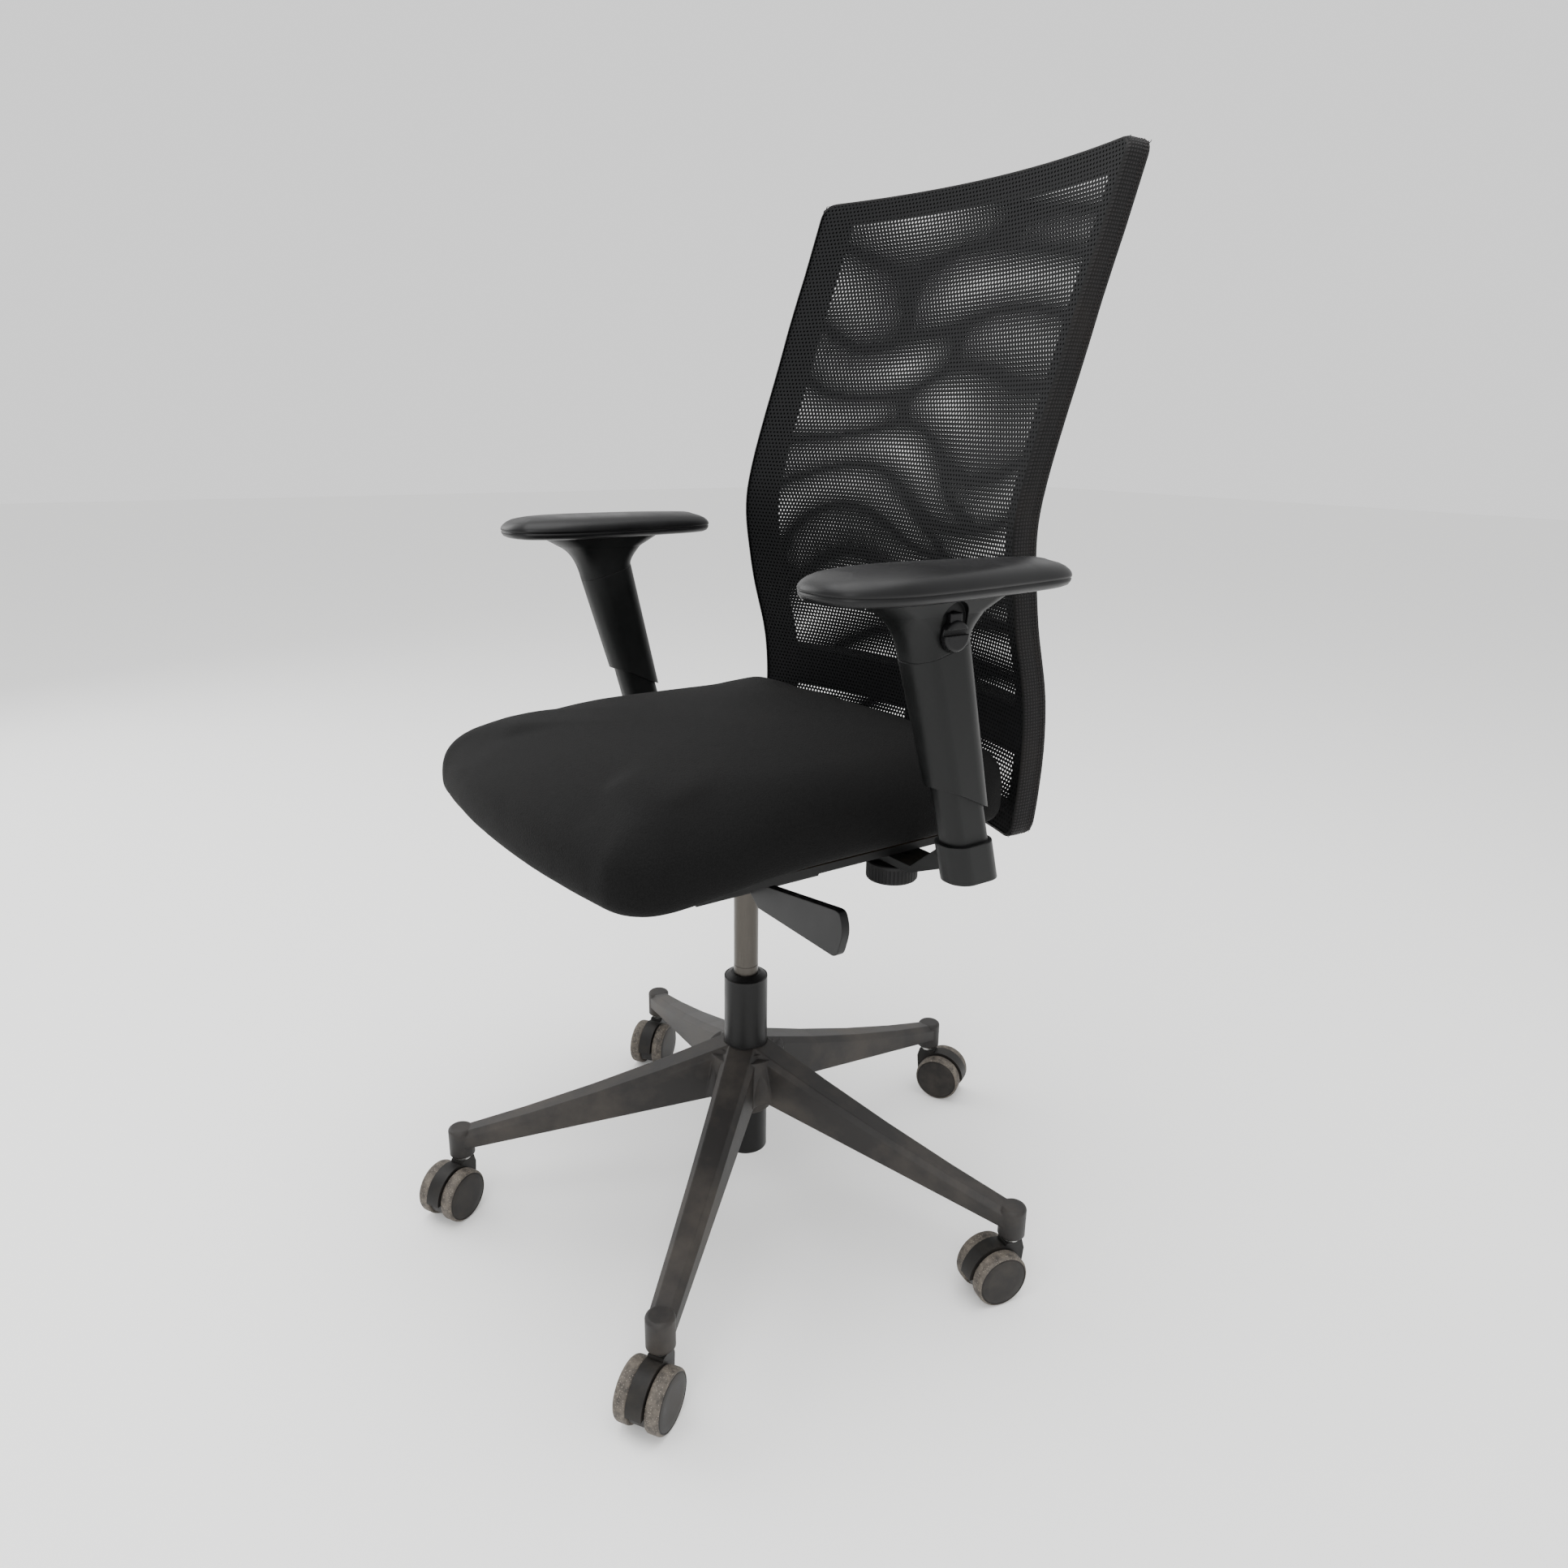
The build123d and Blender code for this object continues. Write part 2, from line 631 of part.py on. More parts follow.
def back_outline(inset):
    """Front view of the backrest, swept from front to rear."""
    width = 2 * (back_half_width - inset)
    height = back_high - back_low - 2 * inset
    face = RectangleRounded(width, height, max(back_corner - inset / 2, back_inner_corner))
    middle = (back_high + back_low) / 2
    return extrude(Plane.XZ.offset(-100) * Pos(0, middle) * face, amount=300, dir=(0, 1, 0))


def back_slab(shift, depth):
    """A slab that follows the backrest's curve."""
    return extrude(back_skin(shift), amount=depth, dir=(0, 1, 0))


frame_front = mesh_thickness + layer_gap
mesh_rear_front = frame_front + frame_depth + layer_gap
bolt_places = [(x, z) for x in (-24, 24) for z in (crossbar_low + 13, crossbar_high - 13)]


def bolt_bores(radius):
    """The four carrier bolts' holes through the backrest."""
    bores = [lengthwise(radius, 180, 330, x, z) for x, z in bolt_places]
    return Part() + bores


save("back_mesh_front", back_slab(0, mesh_thickness) & back_outline(0))
rear_mesh = back_slab(mesh_rear_front, mesh_thickness) & back_outline(0)
save("back_mesh_rear", rear_mesh - bolt_bores(3.4))

frame_ring = back_outline(0.6) - back_outline(frame_width)
save("back_frame", back_slab(frame_front, frame_depth) & frame_ring)

bar_reach = back_half_width - frame_width
crossbar_box = block((-bar_reach, bar_reach), (0, 400), (crossbar_low, crossbar_high))
crossbar = back_slab(frame_front + 1, frame_depth - 2) & crossbar_box
save("back_crossbar", crossbar - bolt_bores(3.0))

bar_mid = (crossbar_low + crossbar_high) / 2
back_rear = 186 + back_hollow + mesh_rear_front + mesh_thickness
carrier_front = back_rear + 2.5


def back_carrier():
    """Steel-cored arm from the rear pivot, under the seat and up behind the backrest."""
    y, z = rear_axle
    under = z - carrier_sheet / 2
    over = z + carrier_sheet / 2
    rear = carrier_front + carrier_sheet
    path = closed((y, under), (rear - 26, under), (rear - 8, under + 6), (rear, under + 24),
                  (rear, crossbar_high + 8), (carrier_front, crossbar_high + 8), (carrier_front, over + 14),
                  (carrier_front - 12, over), (y, over))
    carrier = side_cut(path, -carrier_half_width, carrier_half_width)
    carrier += crosswise(12, -carrier_half_width, carrier_half_width, y, z)
    carrier -= crosswise(pivot_radius + running_gap, -90, 90, y, z)
    carrier = carrier - bolt_bores(3.0)
    return carrier


save("back_carrier", back_carrier())
carrier_rear = carrier_front + carrier_sheet
bolt_tip = carrier_front - 24
back_bolts = [lengthwise(3.0, bolt_tip, carrier_rear, x, z) + lengthwise(5.5, carrier_rear, carrier_rear + 4, x, z)
              for x, z in bolt_places]
save("back_bolts", Part() + back_bolts)

# ---------------------------------------------------------------- armrests
lean = radians(arm_lean)
arm_plane = Plane(origin=(arm_x, socket_y, socket_top), x_dir=(1, 0, 0), z_dir=(0, -sin(lean), cos(lean)))


def along_post(size, low, high):
    """An oval bar along the leaning post axis."""
    return arm_plane * extrude(Pos(0, 0, low) * RectangleRounded(*size), amount=high - low)


def tapered_sleeve(low, high):
    """The sleeve's outside, wider towards the head."""
    foot = arm_plane * Pos(0, 0, low) * RectangleRounded(*sleeve_foot_size)
    head = arm_plane * Pos(0, 0, high) * RectangleRounded(*sleeve_head_size)
    return loft([foot, head], ruled=True)


post = along_post(post_size, post_foot, post_reach)


def arm_bracket():
    """Socket round the post's foot and the flat bar under the seat, in one casting."""
    socket = along_post(socket_size, -60, 40)
    socket &= block((0, 600), (-100, 200), (socket_bottom, socket_top + 4))
    socket -= post
    climb = front_cut(closed((bar_bend - 8, bar_low), (bar_bend, bar_low), (arm_x - 16, socket_bottom + 6),
                             (arm_x - 10, socket_bottom + 31), (arm_x - 17, socket_bottom + 31),
                             (bar_bend + 2, bar_high), (bar_bend - 8, bar_high)),
                      bar_y - bar_half_width, bar_y + bar_half_width - 6)
    bar = block((bar_inner, bar_bend), (bar_y - bar_half_width, bar_y + bar_half_width), (bar_low, bar_high))
    slot_in = knob_x - width_travel_out
    slot_out = knob_x + width_travel_in
    slot_half = clamp_radius + 0.5
    slot = block((slot_in, slot_out), (bar_y - slot_half, bar_y + slot_half), (bar_low - 1, bar_high + 1))
    slot += upright(slot_half, bar_low - 1, bar_high + 1, slot_in, bar_y)
    slot += upright(slot_half, bar_low - 1, bar_high + 1, slot_out, bar_y)
    casting = socket + climb + bar
    return casting - slot - post


def arm_sleeve():
    """Outer sleeve, cut to an S at its lower edge."""
    low = 20.0
    sleeve = tapered_sleeve(low, sleeve_joint)
    cavity = (post_size[0] + 2 * slide_gap, post_size[1] + 2 * slide_gap, post_size[2] + slide_gap)
    sleeve -= along_post(cavity, 0, sleeve_joint - 3)
    edge = Spline((-30, 595), (4, 592), (32, 579), (60, 567), (110, 564))
    edge += Polyline((110, 564), (110, 523), (-30, 523), (-30, 595))
    return sleeve - side_cut(edge, arm_x - 60, arm_x + 60)


button_y = -13.0
button_z = 731.0
button_radius = 13.0
button_travel = 5.0
button_inner = arm_x + 22.0


def arm_head():
    """Flared head that carries the pad, with the recess of the release button."""
    neck = arm_plane * Pos(0, 0, sleeve_joint + layer_gap / 2) * RectangleRounded(*sleeve_head_size)
    waist = Pos(arm_x, -16, pad_low - 28) * RectangleRounded(46, 74, 21)
    flare = Pos(arm_x, -18, pad_low - 13) * RectangleRounded(50, 102, 23)
    rim = Pos(arm_x, -18, pad_low) * RectangleRounded(60, 150, 28)
    head = loft([neck, waist, flare]) + loft([flare, rim], ruled=True)
    slot_half = button_radius + 0.8
    high = button_z + button_travel + 10
    for radius, inner in ((slot_half, button_inner), (5.0, button_inner - 12)):
        head -= crosswise(radius, inner - slide_gap, arm_x + 60, button_y, button_z)
        head -= crosswise(radius, inner - slide_gap, arm_x + 60, button_y, high)
        head -= block((inner - slide_gap, arm_x + 60), (button_y - radius, button_y + radius), (button_z, high))
    return head


def arm_button():
    """Release: half-moon finger hook, thumb tab and the shank inside the head."""
    hook = crosswise(button_radius, button_inner, button_inner + 8, button_y, button_z)
    hook = fillet(hook.edges().group_by(Axis.X)[-1], 3)
    hook -= block((button_inner + 3, button_inner + 20), (button_y - 30, button_y + 30),
                  (button_z + 1, button_z + 6))
    tab = block((button_inner, button_inner + 5), (button_y - 6.5, button_y + 6.5),
                (button_z + 8, button_z + button_radius + 6))
    tab = fillet(tab.edges().group_by(Axis.X)[-1], 1.5)
    shank = crosswise(4.5, button_inner - 10, button_inner + 1, button_y, button_z)
    return hook + tab + shank


def arm_pad():
    """Soft pad, broad at the front and narrow at the rear, with a groove round its side."""
    w = pad_half_width
    right = [(0, pad_front), (w * 0.74, pad_front + 15), (w, pad_front + 62), (w * 0.95, -15),
             (w * 0.78, 60), (w * 0.6, pad_rear - 22), (0, pad_rear)]
    left = [(-x, y) for x, y in reversed(right[1:-1])]
    outline = Spline(*(right + left), periodic=True)
    pad = extrude(Pos(arm_x, 0, pad_low) * make_face(outline), amount=pad_high - pad_low)
    pad = fillet(pad.edges().group_by(Axis.Z)[-1], 9)
    return fillet(pad.edges().group_by(Axis.Z)[0], 4)


knob_neck = 11.0
knob_low = bar_low - layer_gap - knob_height - 4
arm_knob = Rot(180, 0, 0) * ribbed_grip(knob_radius, knob_height, 40)
arm_knob = Pos(knob_x, bar_y, knob_low + knob_height) * arm_knob
arm_knob += upright(knob_neck, knob_low + knob_height - 1, bar_low - layer_gap, knob_x, bar_y)
arm_knob -= upright(clamp_radius + running_gap, knob_low + 2, bar_low + 1, knob_x, bar_y)

for side, name in ((1, "left"), (-1, "right")):
    pieces = {"arm_bracket": arm_bracket(), "arm_post": post, "arm_sleeve": arm_sleeve(), "arm_head": arm_head(),
              "arm_button": arm_button(), "arm_pad": arm_pad(), "arm_knob": arm_knob}
    for piece, shape in pieces.items():
        save(f"{piece}_{name}", shape if side > 0 else other_side(shape))
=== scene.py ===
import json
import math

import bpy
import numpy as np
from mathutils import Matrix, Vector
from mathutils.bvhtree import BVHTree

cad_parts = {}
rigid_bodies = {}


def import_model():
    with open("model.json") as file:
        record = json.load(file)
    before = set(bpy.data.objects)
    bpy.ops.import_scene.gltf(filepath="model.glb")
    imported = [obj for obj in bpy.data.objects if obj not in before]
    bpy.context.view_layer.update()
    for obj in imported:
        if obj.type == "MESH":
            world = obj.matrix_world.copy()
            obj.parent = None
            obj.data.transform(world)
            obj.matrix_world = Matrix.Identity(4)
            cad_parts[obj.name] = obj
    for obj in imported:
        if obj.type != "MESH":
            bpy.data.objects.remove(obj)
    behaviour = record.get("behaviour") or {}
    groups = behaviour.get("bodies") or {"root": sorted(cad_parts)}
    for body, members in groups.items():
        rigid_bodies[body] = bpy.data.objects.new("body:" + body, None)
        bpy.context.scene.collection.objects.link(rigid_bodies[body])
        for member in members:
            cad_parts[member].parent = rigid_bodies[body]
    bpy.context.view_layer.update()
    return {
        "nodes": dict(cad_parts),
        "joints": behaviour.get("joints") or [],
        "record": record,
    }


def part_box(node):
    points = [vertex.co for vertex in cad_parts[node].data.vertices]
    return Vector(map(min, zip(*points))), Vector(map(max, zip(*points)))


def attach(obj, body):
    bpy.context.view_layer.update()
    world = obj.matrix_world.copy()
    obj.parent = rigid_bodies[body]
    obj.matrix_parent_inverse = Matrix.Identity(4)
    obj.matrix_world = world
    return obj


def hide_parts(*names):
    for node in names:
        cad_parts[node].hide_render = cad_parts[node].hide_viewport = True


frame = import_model()

# %% [markdown]
# # Swivel office chair
# A mesh-backed task chair: moulded star base on twin-wheel casters, a gas lift, a tilt
# mechanism below an upholstered seat, two height-adjustable armrests, and a backrest whose
# frame is dressed in a stretched mesh sock. The CAD frame gives every hard part. Here the
# soft parts are made, the hard parts get their finishes, and the chair is set in a studio.
# Lengths are metres. The sitter faces -Y and the sitter's left is +X.

MM = 0.001
nodes = frame["nodes"]
joints = {joint["name"]: joint for joint in frame["joints"]}

# %% [markdown]
# ## Small helpers
# Colours are written as sRGB hex, as a paint chart would give them, and turned linear by one
# function. One function adds a shader or geometry node with its settings and links, so each
# finish below reads as a short list.

# %% Helpers
def hue(text):
    """Linear colour from an sRGB hex string."""
    parts = [int(text[i:i + 2], 16) / 255 for i in (1, 3, 5)]
    return [p / 12.92 if p <= 0.04045 else ((p + 0.055) / 1.055) ** 2.4 for p in parts] + [1.0]


def add(tree, kind, settings=None, **inputs):
    """Adds one node. An input is a value, or another node's output to link from."""
    made = tree.nodes.new(kind)
    for key, value in (settings or {}).items():
        setattr(made, key, value)
    for key, value in inputs.items():
        numbered = key[0] == "i" and key[1:].isdigit()
        socket = made.inputs[int(key[1:]) if numbered else key.replace("_", " ")]
        if isinstance(value, bpy.types.NodeSocket):
            tree.links.new(value, socket)
        else:
            socket.default_value = value
    return made


def per(size_mm):
    """Texture scale for a feature of this size, in object coordinates."""
    return 1000.0 / size_mm


def waves(period_mm):
    """Wave texture scale for bands this far apart; the texture repeats every tenth of pi at scale one."""
    return per(period_mm) * math.pi / 10


def blank(name):
    """A material with an empty node tree, and its surface shader."""
    made = bpy.data.materials.new(name)
    made.use_nodes = True
    tree = made.node_tree
    tree.nodes.clear()
    out = tree.nodes.new("ShaderNodeOutputMaterial")
    shader = tree.nodes.new("ShaderNodeBsdfPrincipled")
    tree.links.new(shader.outputs[0], out.inputs[0])
    return made, tree, shader


def noise(tree, where, size_mm, detail=3.0, rough=0.55):
    """Noise of one feature size."""
    made = add(tree, "ShaderNodeTexNoise", Vector=where, Scale=per(size_mm), Detail=detail, Roughness=rough)
    return made.outputs[0]


def ramp(tree, factor, low, high, dark, light):
    """Blend between two colours as the factor goes from low to high."""
    made = add(tree, "ShaderNodeValToRGB", Fac=factor)
    made.color_ramp.elements[0].position = low
    made.color_ramp.elements[1].position = high
    made.color_ramp.elements[0].color = dark
    made.color_ramp.elements[1].color = light
    return made.outputs[0]


def blend_colour(tree, factor, first, second):
    """Mix of two colours by a factor."""
    made = add(tree, "ShaderNodeMix", {"data_type": "RGBA"}, Factor=factor)
    for socket, value in zip((made.inputs[6], made.inputs[7]), (first, second)):
        if isinstance(value, bpy.types.NodeSocket):
            tree.links.new(value, socket)
        else:
            socket.default_value = value
    return made.outputs[2]


def relief(tree, shader, height, depth_mm, normal=None):
    """Bump of a real depth."""
    made = add(tree, "ShaderNodeBump", Strength=1.0, Distance=depth_mm * MM, Height=height)
    if normal is not None:
        tree.links.new(normal, made.inputs["Normal"])
    tree.links.new(made.outputs[0], shader.inputs["Normal"])
    return made.outputs[0]


def plastic(name, base, worn, rough, grain_mm=0.5, grain_depth=0.03, patch_mm=90.0,
            wear=(0.45, 0.75), soft_edge=0.0, glare=0.22):
    """Moulded plastic: patchy rubbing and a fine moulded grain, with the edges softened if asked."""
    made, tree, shader = blank(name)
    shader.inputs["Specular IOR Level"].default_value = glare
    where = add(tree, "ShaderNodeTexCoord").outputs["Object"]
    patches = noise(tree, where, patch_mm, 6.0, 0.62)
    colour = ramp(tree, patches, wear[0], wear[1], hue(base), hue(worn))
    tree.links.new(colour, shader.inputs["Base Color"])
    gloss = add(tree, "ShaderNodeMapRange", Value=patches, From_Min=0.3, From_Max=0.7,
                To_Min=rough - 0.06, To_Max=rough + 0.08).outputs[0]
    tree.links.new(gloss, shader.inputs["Roughness"])
    edge = None
    if soft_edge:
        edge = add(tree, "ShaderNodeBevel", {"samples": 4}, Radius=soft_edge * MM).outputs[0]
    relief(tree, shader, noise(tree, where, grain_mm, 2.0), grain_depth, edge)
    return made


def metal(name, base, rough, streak_mm, stretch, depth=0.004):
    """Metal with fine drawn or ground lines."""
    made, tree, shader = blank(name)
    where = add(tree, "ShaderNodeTexCoord").outputs["Object"]
    lines = add(tree, "ShaderNodeMapping", Vector=where, Scale=stretch).outputs[0]
    grain = noise(tree, lines, streak_mm, 4.0)
    shader.inputs["Base Color"].default_value = hue(base)
    shader.inputs["Metallic"].default_value = 1.0
    gloss = add(tree, "ShaderNodeMapRange", Value=grain, From_Min=0.3, From_Max=0.7,
                To_Min=rough - 0.08, To_Max=rough + 0.1).outputs[0]
    tree.links.new(gloss, shader.inputs["Roughness"])
    relief(tree, shader, grain, depth)
    return made


def new_piece(name, points, faces, material, body, smooth=True):
    """A finished mesh object at the origin that rides on one body."""
    mesh = bpy.data.meshes.new(name)
    mesh.from_pydata([tuple(p) for p in points], [], [tuple(f) for f in faces])
    mesh.validate()
    made = bpy.data.objects.new(name, mesh)
    bpy.context.scene.collection.objects.link(made)
    for item in material if isinstance(material, (list, tuple)) else [material]:
        mesh.materials.append(item)
    mesh.polygons.foreach_set("use_smooth", [smooth] * len(mesh.polygons))
    if body:
        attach(made, body)
    return made


def settled(holder, name):
    """The holder's evaluated geometry as a plain mesh object in its place."""
    graph = bpy.context.evaluated_depsgraph_get()
    mesh = bpy.data.meshes.new_from_object(holder.evaluated_get(graph))
    mesh.name = name
    bpy.data.objects.remove(holder)
    made = bpy.data.objects.new(name, mesh)
    bpy.context.scene.collection.objects.link(made)
    return made


def run_tree(tree, name, mesh, values):
    """Runs a geometry tree on a mesh with named inputs and keeps the result as a plain mesh."""
    holder = bpy.data.objects.new(name + "_holder", mesh)
    bpy.context.scene.collection.objects.link(holder)
    modifier = holder.modifiers.new("tree", "NODES")
    modifier.node_group = tree
    for item in tree.interface.items_tree:
        if item.item_type == "SOCKET" and item.in_out == "INPUT" and item.name in values:
            modifier[item.identifier] = values[item.name]
    return settled(holder, name)


def even_points(line, count):
    """A closed line of plan points, spaced evenly."""
    ring = np.array(line + line[:1])
    gaps = np.hypot(*np.diff(ring, axis=0).T)
    travelled = np.concatenate([[0], np.cumsum(gaps)])
    marks = np.linspace(0, travelled[-1], count, endpoint=False)
    return np.stack([np.interp(marks, travelled, ring[:, k]) for k in (0, 1)], 1)


def ring_faces(rings, count):
    """Quads between rings of points that lie one above another."""
    faces = []
    for row in range(rings - 1):
        low, high = row * count, (row + 1) * count
        for k in range(count):
            after = (k + 1) % count
            faces.append((low + k, low + after, high + after, high + k))
    return faces


def new_tree(name, sockets):
    """A geometry tree with named inputs and one geometry output."""
    tree = bpy.data.node_groups.new(name, "GeometryNodeTree")
    tree.interface.new_socket("Geometry", in_out="INPUT", socket_type="NodeSocketGeometry")
    for label, kind in sockets:
        tree.interface.new_socket(label, in_out="INPUT", socket_type=kind)
    tree.interface.new_socket("Geometry", in_out="OUTPUT", socket_type="NodeSocketGeometry")
    return tree, tree.nodes.new("NodeGroupInput"), tree.nodes.new("NodeGroupOutput")


# %% [markdown]
# ## Camera and studio
# The chair is seen from the sitter's left front, a little above the seat, with a short lens.
# It stands on a white sweep under a large overhead softbox and two weaker side lights, so
# the black parts keep faint, broad highlights.

# %% Camera
def camera(place, azimuth, elevation, roll, lens_mm):
    """Camera from its place, the direction back from the subject, and its lens on a full-frame sensor."""
    flat = math.cos(elevation)
    back = Vector((math.sin(azimuth) * flat, -math.cos(azimuth) * flat, math.sin(elevation)))
    level = Vector((math.cos(azimuth), math.sin(azimuth), 0))
    rise = back.cross(level)
    right = math.cos(roll) * level + math.sin(roll) * rise
    top = -math.sin(roll) * level + math.cos(roll) * rise
    data = bpy.data.cameras.new("camera")
    data.sensor_width = 36.0
    data.lens = lens_mm
    made = bpy.data.objects.new("camera", data)
    turn = Matrix((right, top, back)).transposed().to_4x4()
    made.matrix_world = Matrix.Translation(place) @ turn
    bpy.context.scene.collection.objects.link(made)
    bpy.context.scene.camera = made
    return made


camera(place=Vector((0.99356, -0.65425, 0.89123)), azimuth=math.radians(54.657),
       elevation=math.radians(17.434), roll=math.radians(0.75), lens_mm=26.13596)

# %% Studio
def softbox(name, place, aim, size, power):
    """A square area light aimed at a point."""
    data = bpy.data.lights.new(name, "AREA")
    data.size = size
    data.energy = power
    made = bpy.data.objects.new(name, data)
    made.location = place
    made.rotation_euler = (Vector(aim) - Vector(place)).to_track_quat("-Z", "Y").to_euler()
    bpy.context.scene.collection.objects.link(made)
    return made


softbox("overhead", (0.2, -0.2, 3.0), (0, 0, 0.5), 2.6, 95)
softbox("front_left", (2.4, -2.2, 1.9), (0, 0, 0.6), 1.8, 55)
softbox("far_side", (-2.6, -1.2, 1.8), (0, 0, 0.6), 2.0, 40)
world = bpy.data.worlds.new("studio")
bpy.context.scene.world = world
world.use_nodes = True
world.node_tree.nodes["Background"].inputs[0].default_value = hue("#ffffff")
world.node_tree.nodes["Background"].inputs[1].default_value = 1.2

floor_paint, tree, shader = blank("studio_floor_paint")
shader.inputs["Base Color"].default_value = hue("#f6f6f5")
shader.inputs["Roughness"].default_value = 0.9
half = 14.0
floor = new_piece("studio_floor", [(-half, -half, 0), (half, -half, 0), (half, half, 0), (-half, half, 0)],
                  [(0, 1, 2, 3)], floor_paint, None, smooth=False)

# %% [markdown]
# ## Finishes of the hard parts
# Years of shoes have rubbed the base from black to a brownish grey. The lift tube is satin
# black paint and its cylinder is ground steel. The casters are black nylon. Mechanism and
# plates are painted steel. The armrests are black moulded nylon with a very fine grain.

# %% Hard finishes
base_nylon = plastic("worn_base_nylon", "#1e1c1b", "#3d3833", 0.55, 0.7, 0.06, 110, (0.42, 0.7), 2.5, 0.3)
tube_paint = plastic("satin_tube_paint", "#090909", "#0e0e0f", 0.36, 0.4, 0.01, 60, soft_edge=1.2)
bush_nylon = plastic("bush_nylon", "#0a0a0a", "#101010", 0.45, 0.5, 0.02)
cylinder_steel = metal("ground_cylinder_steel", "#4a4743", 0.34, 0.6, (1, 1, 0.03))
bearing_steel = metal("bearing_steel", "#bdbdbb", 0.2, 0.5, (1, 1, 1))
pin_steel = metal("plated_pin_steel", "#a5a5a3", 0.32, 0.8, (1, 1, 1))
caster_nylon = plastic("caster_hood_nylon", "#161514", "#26231f", 0.5, 0.6, 0.04, 30)
mech_paint = plastic("painted_mechanism_steel", "#0b0b0b", "#111111", 0.42, 0.8, 0.03, soft_edge=1.0)
knob_nylon = plastic("knob_nylon", "#0b0b0c", "#121212", 0.48, 0.5, 0.03)
lever_nylon = plastic("lever_nylon", "#0c0c0d", "#131314", 0.4, 0.5, 0.03, soft_edge=1.6)
shell_plastic = plastic("seat_shell_plastic", "#080808", "#0c0c0c", 0.55, 0.9, 0.06)
frame_nylon = plastic("back_frame_nylon", "#030303", "#060606", 0.6, 0.6, 0.03, glare=0.08)
arm_nylon = plastic("arm_nylon", "#070808", "#0e0f0f", 0.44, 0.45, 0.03, 70, soft_edge=1.4)
board_ply, tree, shader = blank("seat_board_plywood")
where = add(tree, "ShaderNodeTexCoord").outputs["Object"]
plies = add(tree, "ShaderNodeTexWave", {"bands_direction": "Z"}, Vector=where, Scale=waves(2),
            Distortion=1.0).outputs[1]
veneer = ramp(tree, plies, 0.3, 0.7, hue("#8a6a48"), hue("#b6946a"))
tree.links.new(veneer, shader.inputs["Base Color"])

SLOT_FINISH = {
    "base_nylon": base_nylon, "tube_paint": tube_paint, "bush_nylon": bush_nylon,
    "bearing_steel": bearing_steel, "cylinder_steel": cylinder_steel, "caster_nylon": caster_nylon,
    "wheel_nylon": caster_nylon, "pin_steel": pin_steel, "mech_paint": mech_paint,
    "knob_nylon": knob_nylon, "lever_nylon": lever_nylon, "shell_plastic": shell_plastic,
    "board_ply": board_ply, "seat_fabric": shell_plastic, "mesh_fabric": frame_nylon,
    "frame_nylon": frame_nylon, "arm_nylon": arm_nylon, "pad_pu": arm_nylon,
}
for part in frame["record"]["subparts"]:
    mesh = nodes[part["node"]].data
    mesh.materials.clear()
    mesh.materials.append(SLOT_FINISH[part["material_slot"]])
print("finished", len(nodes), "CAD nodes")

# %% [markdown]
# ## Soft finishes
# The seat is covered in a fine black crepe: tiny irregular bumps about a millimetre across,
# slightly browned where it has been sat on. The mesh sock is black polyester with a faint
# sheen. The arm pads are skinned polyurethane, smooth and slightly glossy.

# %% Soft finishes
def crepe_fabric():
    """Woven crepe of the seat."""
    made, tree, shader = blank("seat_crepe_fabric")
    where = add(tree, "ShaderNodeTexCoord").outputs["Object"]
    cells = add(tree, "ShaderNodeTexVoronoi", {"feature": "F1"}, Vector=where, Scale=per(1.5),
                Randomness=0.9)
    fine = noise(tree, where, 0.8, 2.0)
    patches = noise(tree, where, 140, 4.0)
    # Each bump is painted lighter in its raised middle and darker at its sunken edges: painted highlight and
    # painted shade of the crepe's relief.
    threads = ramp(tree, cells.outputs[0], 0.1, 0.75, hue("#0a0a0a"), hue("#030303"))
    sat_on = ramp(tree, patches, 0.45, 0.8, (0, 0, 0, 1), (0.6, 0.6, 0.6, 1))
    tinted = blend_colour(tree, sat_on, threads, hue("#0b0a09"))
    tree.links.new(tinted, shader.inputs["Base Color"])
    shader.inputs["Roughness"].default_value = 0.85
    shader.inputs["Specular IOR Level"].default_value = 0.15
    first = relief(tree, shader, cells.outputs[0], -0.35)
    relief(tree, shader, fine, 0.15, first)
    return made


def mesh_fabric():
    """Polyester thread of the stretched net."""
    made, tree, shader = blank("mesh_thread_polyester")
    where = add(tree, "ShaderNodeTexCoord").outputs["Object"]
    fibres = noise(tree, where, 0.7, 2.0)
    black = ramp(tree, fibres, 0.35, 0.7, hue("#030304"), hue("#08090b"))
    tree.links.new(black, shader.inputs["Base Color"])
    shader.inputs["Roughness"].default_value = 0.6
    shader.inputs["Specular IOR Level"].default_value = 0.12
    relief(tree, shader, fibres, 0.1)
    return made


def band_fabric():
    """Coarse basket weave of the band round the back's edge, laid out by its UV in metres."""
    made, tree, shader = blank("edge_band_basket_weave")
    where = add(tree, "ShaderNodeTexCoord").outputs["UV"]
    warp, weft = (add(tree, "ShaderNodeTexWave", {"bands_direction": way, "wave_profile": "SIN"},
                      Vector=where, Scale=waves(3.4)).outputs[1] for way in "XY")
    height = add(tree, "ShaderNodeMath", {"operation": "MULTIPLY"}, i0=warp, i1=weft).outputs[0]
    patches = noise(tree, where, 60, 3.0)
    # Thread colour follows the weave's height: the dark gaps are painted shade and the lighter raised
    # threads are a painted highlight.
    threads = ramp(tree, height, 0.05, 0.6, hue("#010101"), hue("#1b191a"))
    # The brown tint in random patches over the weave is painted sheen.
    painted_sheen_patches = ramp(tree, patches, 0.45, 0.75, (0, 0, 0, 1), (0.4, 0.4, 0.4, 1))
    brown_sheen_weave = blend_colour(tree, painted_sheen_patches, threads, hue("#1c1714"))
    tree.links.new(brown_sheen_weave, shader.inputs["Base Color"])
    shader.inputs["Roughness"].default_value = 0.7
    shader.inputs["Specular IOR Level"].default_value = 0.2
    relief(tree, shader, height, 0.9)
    return made


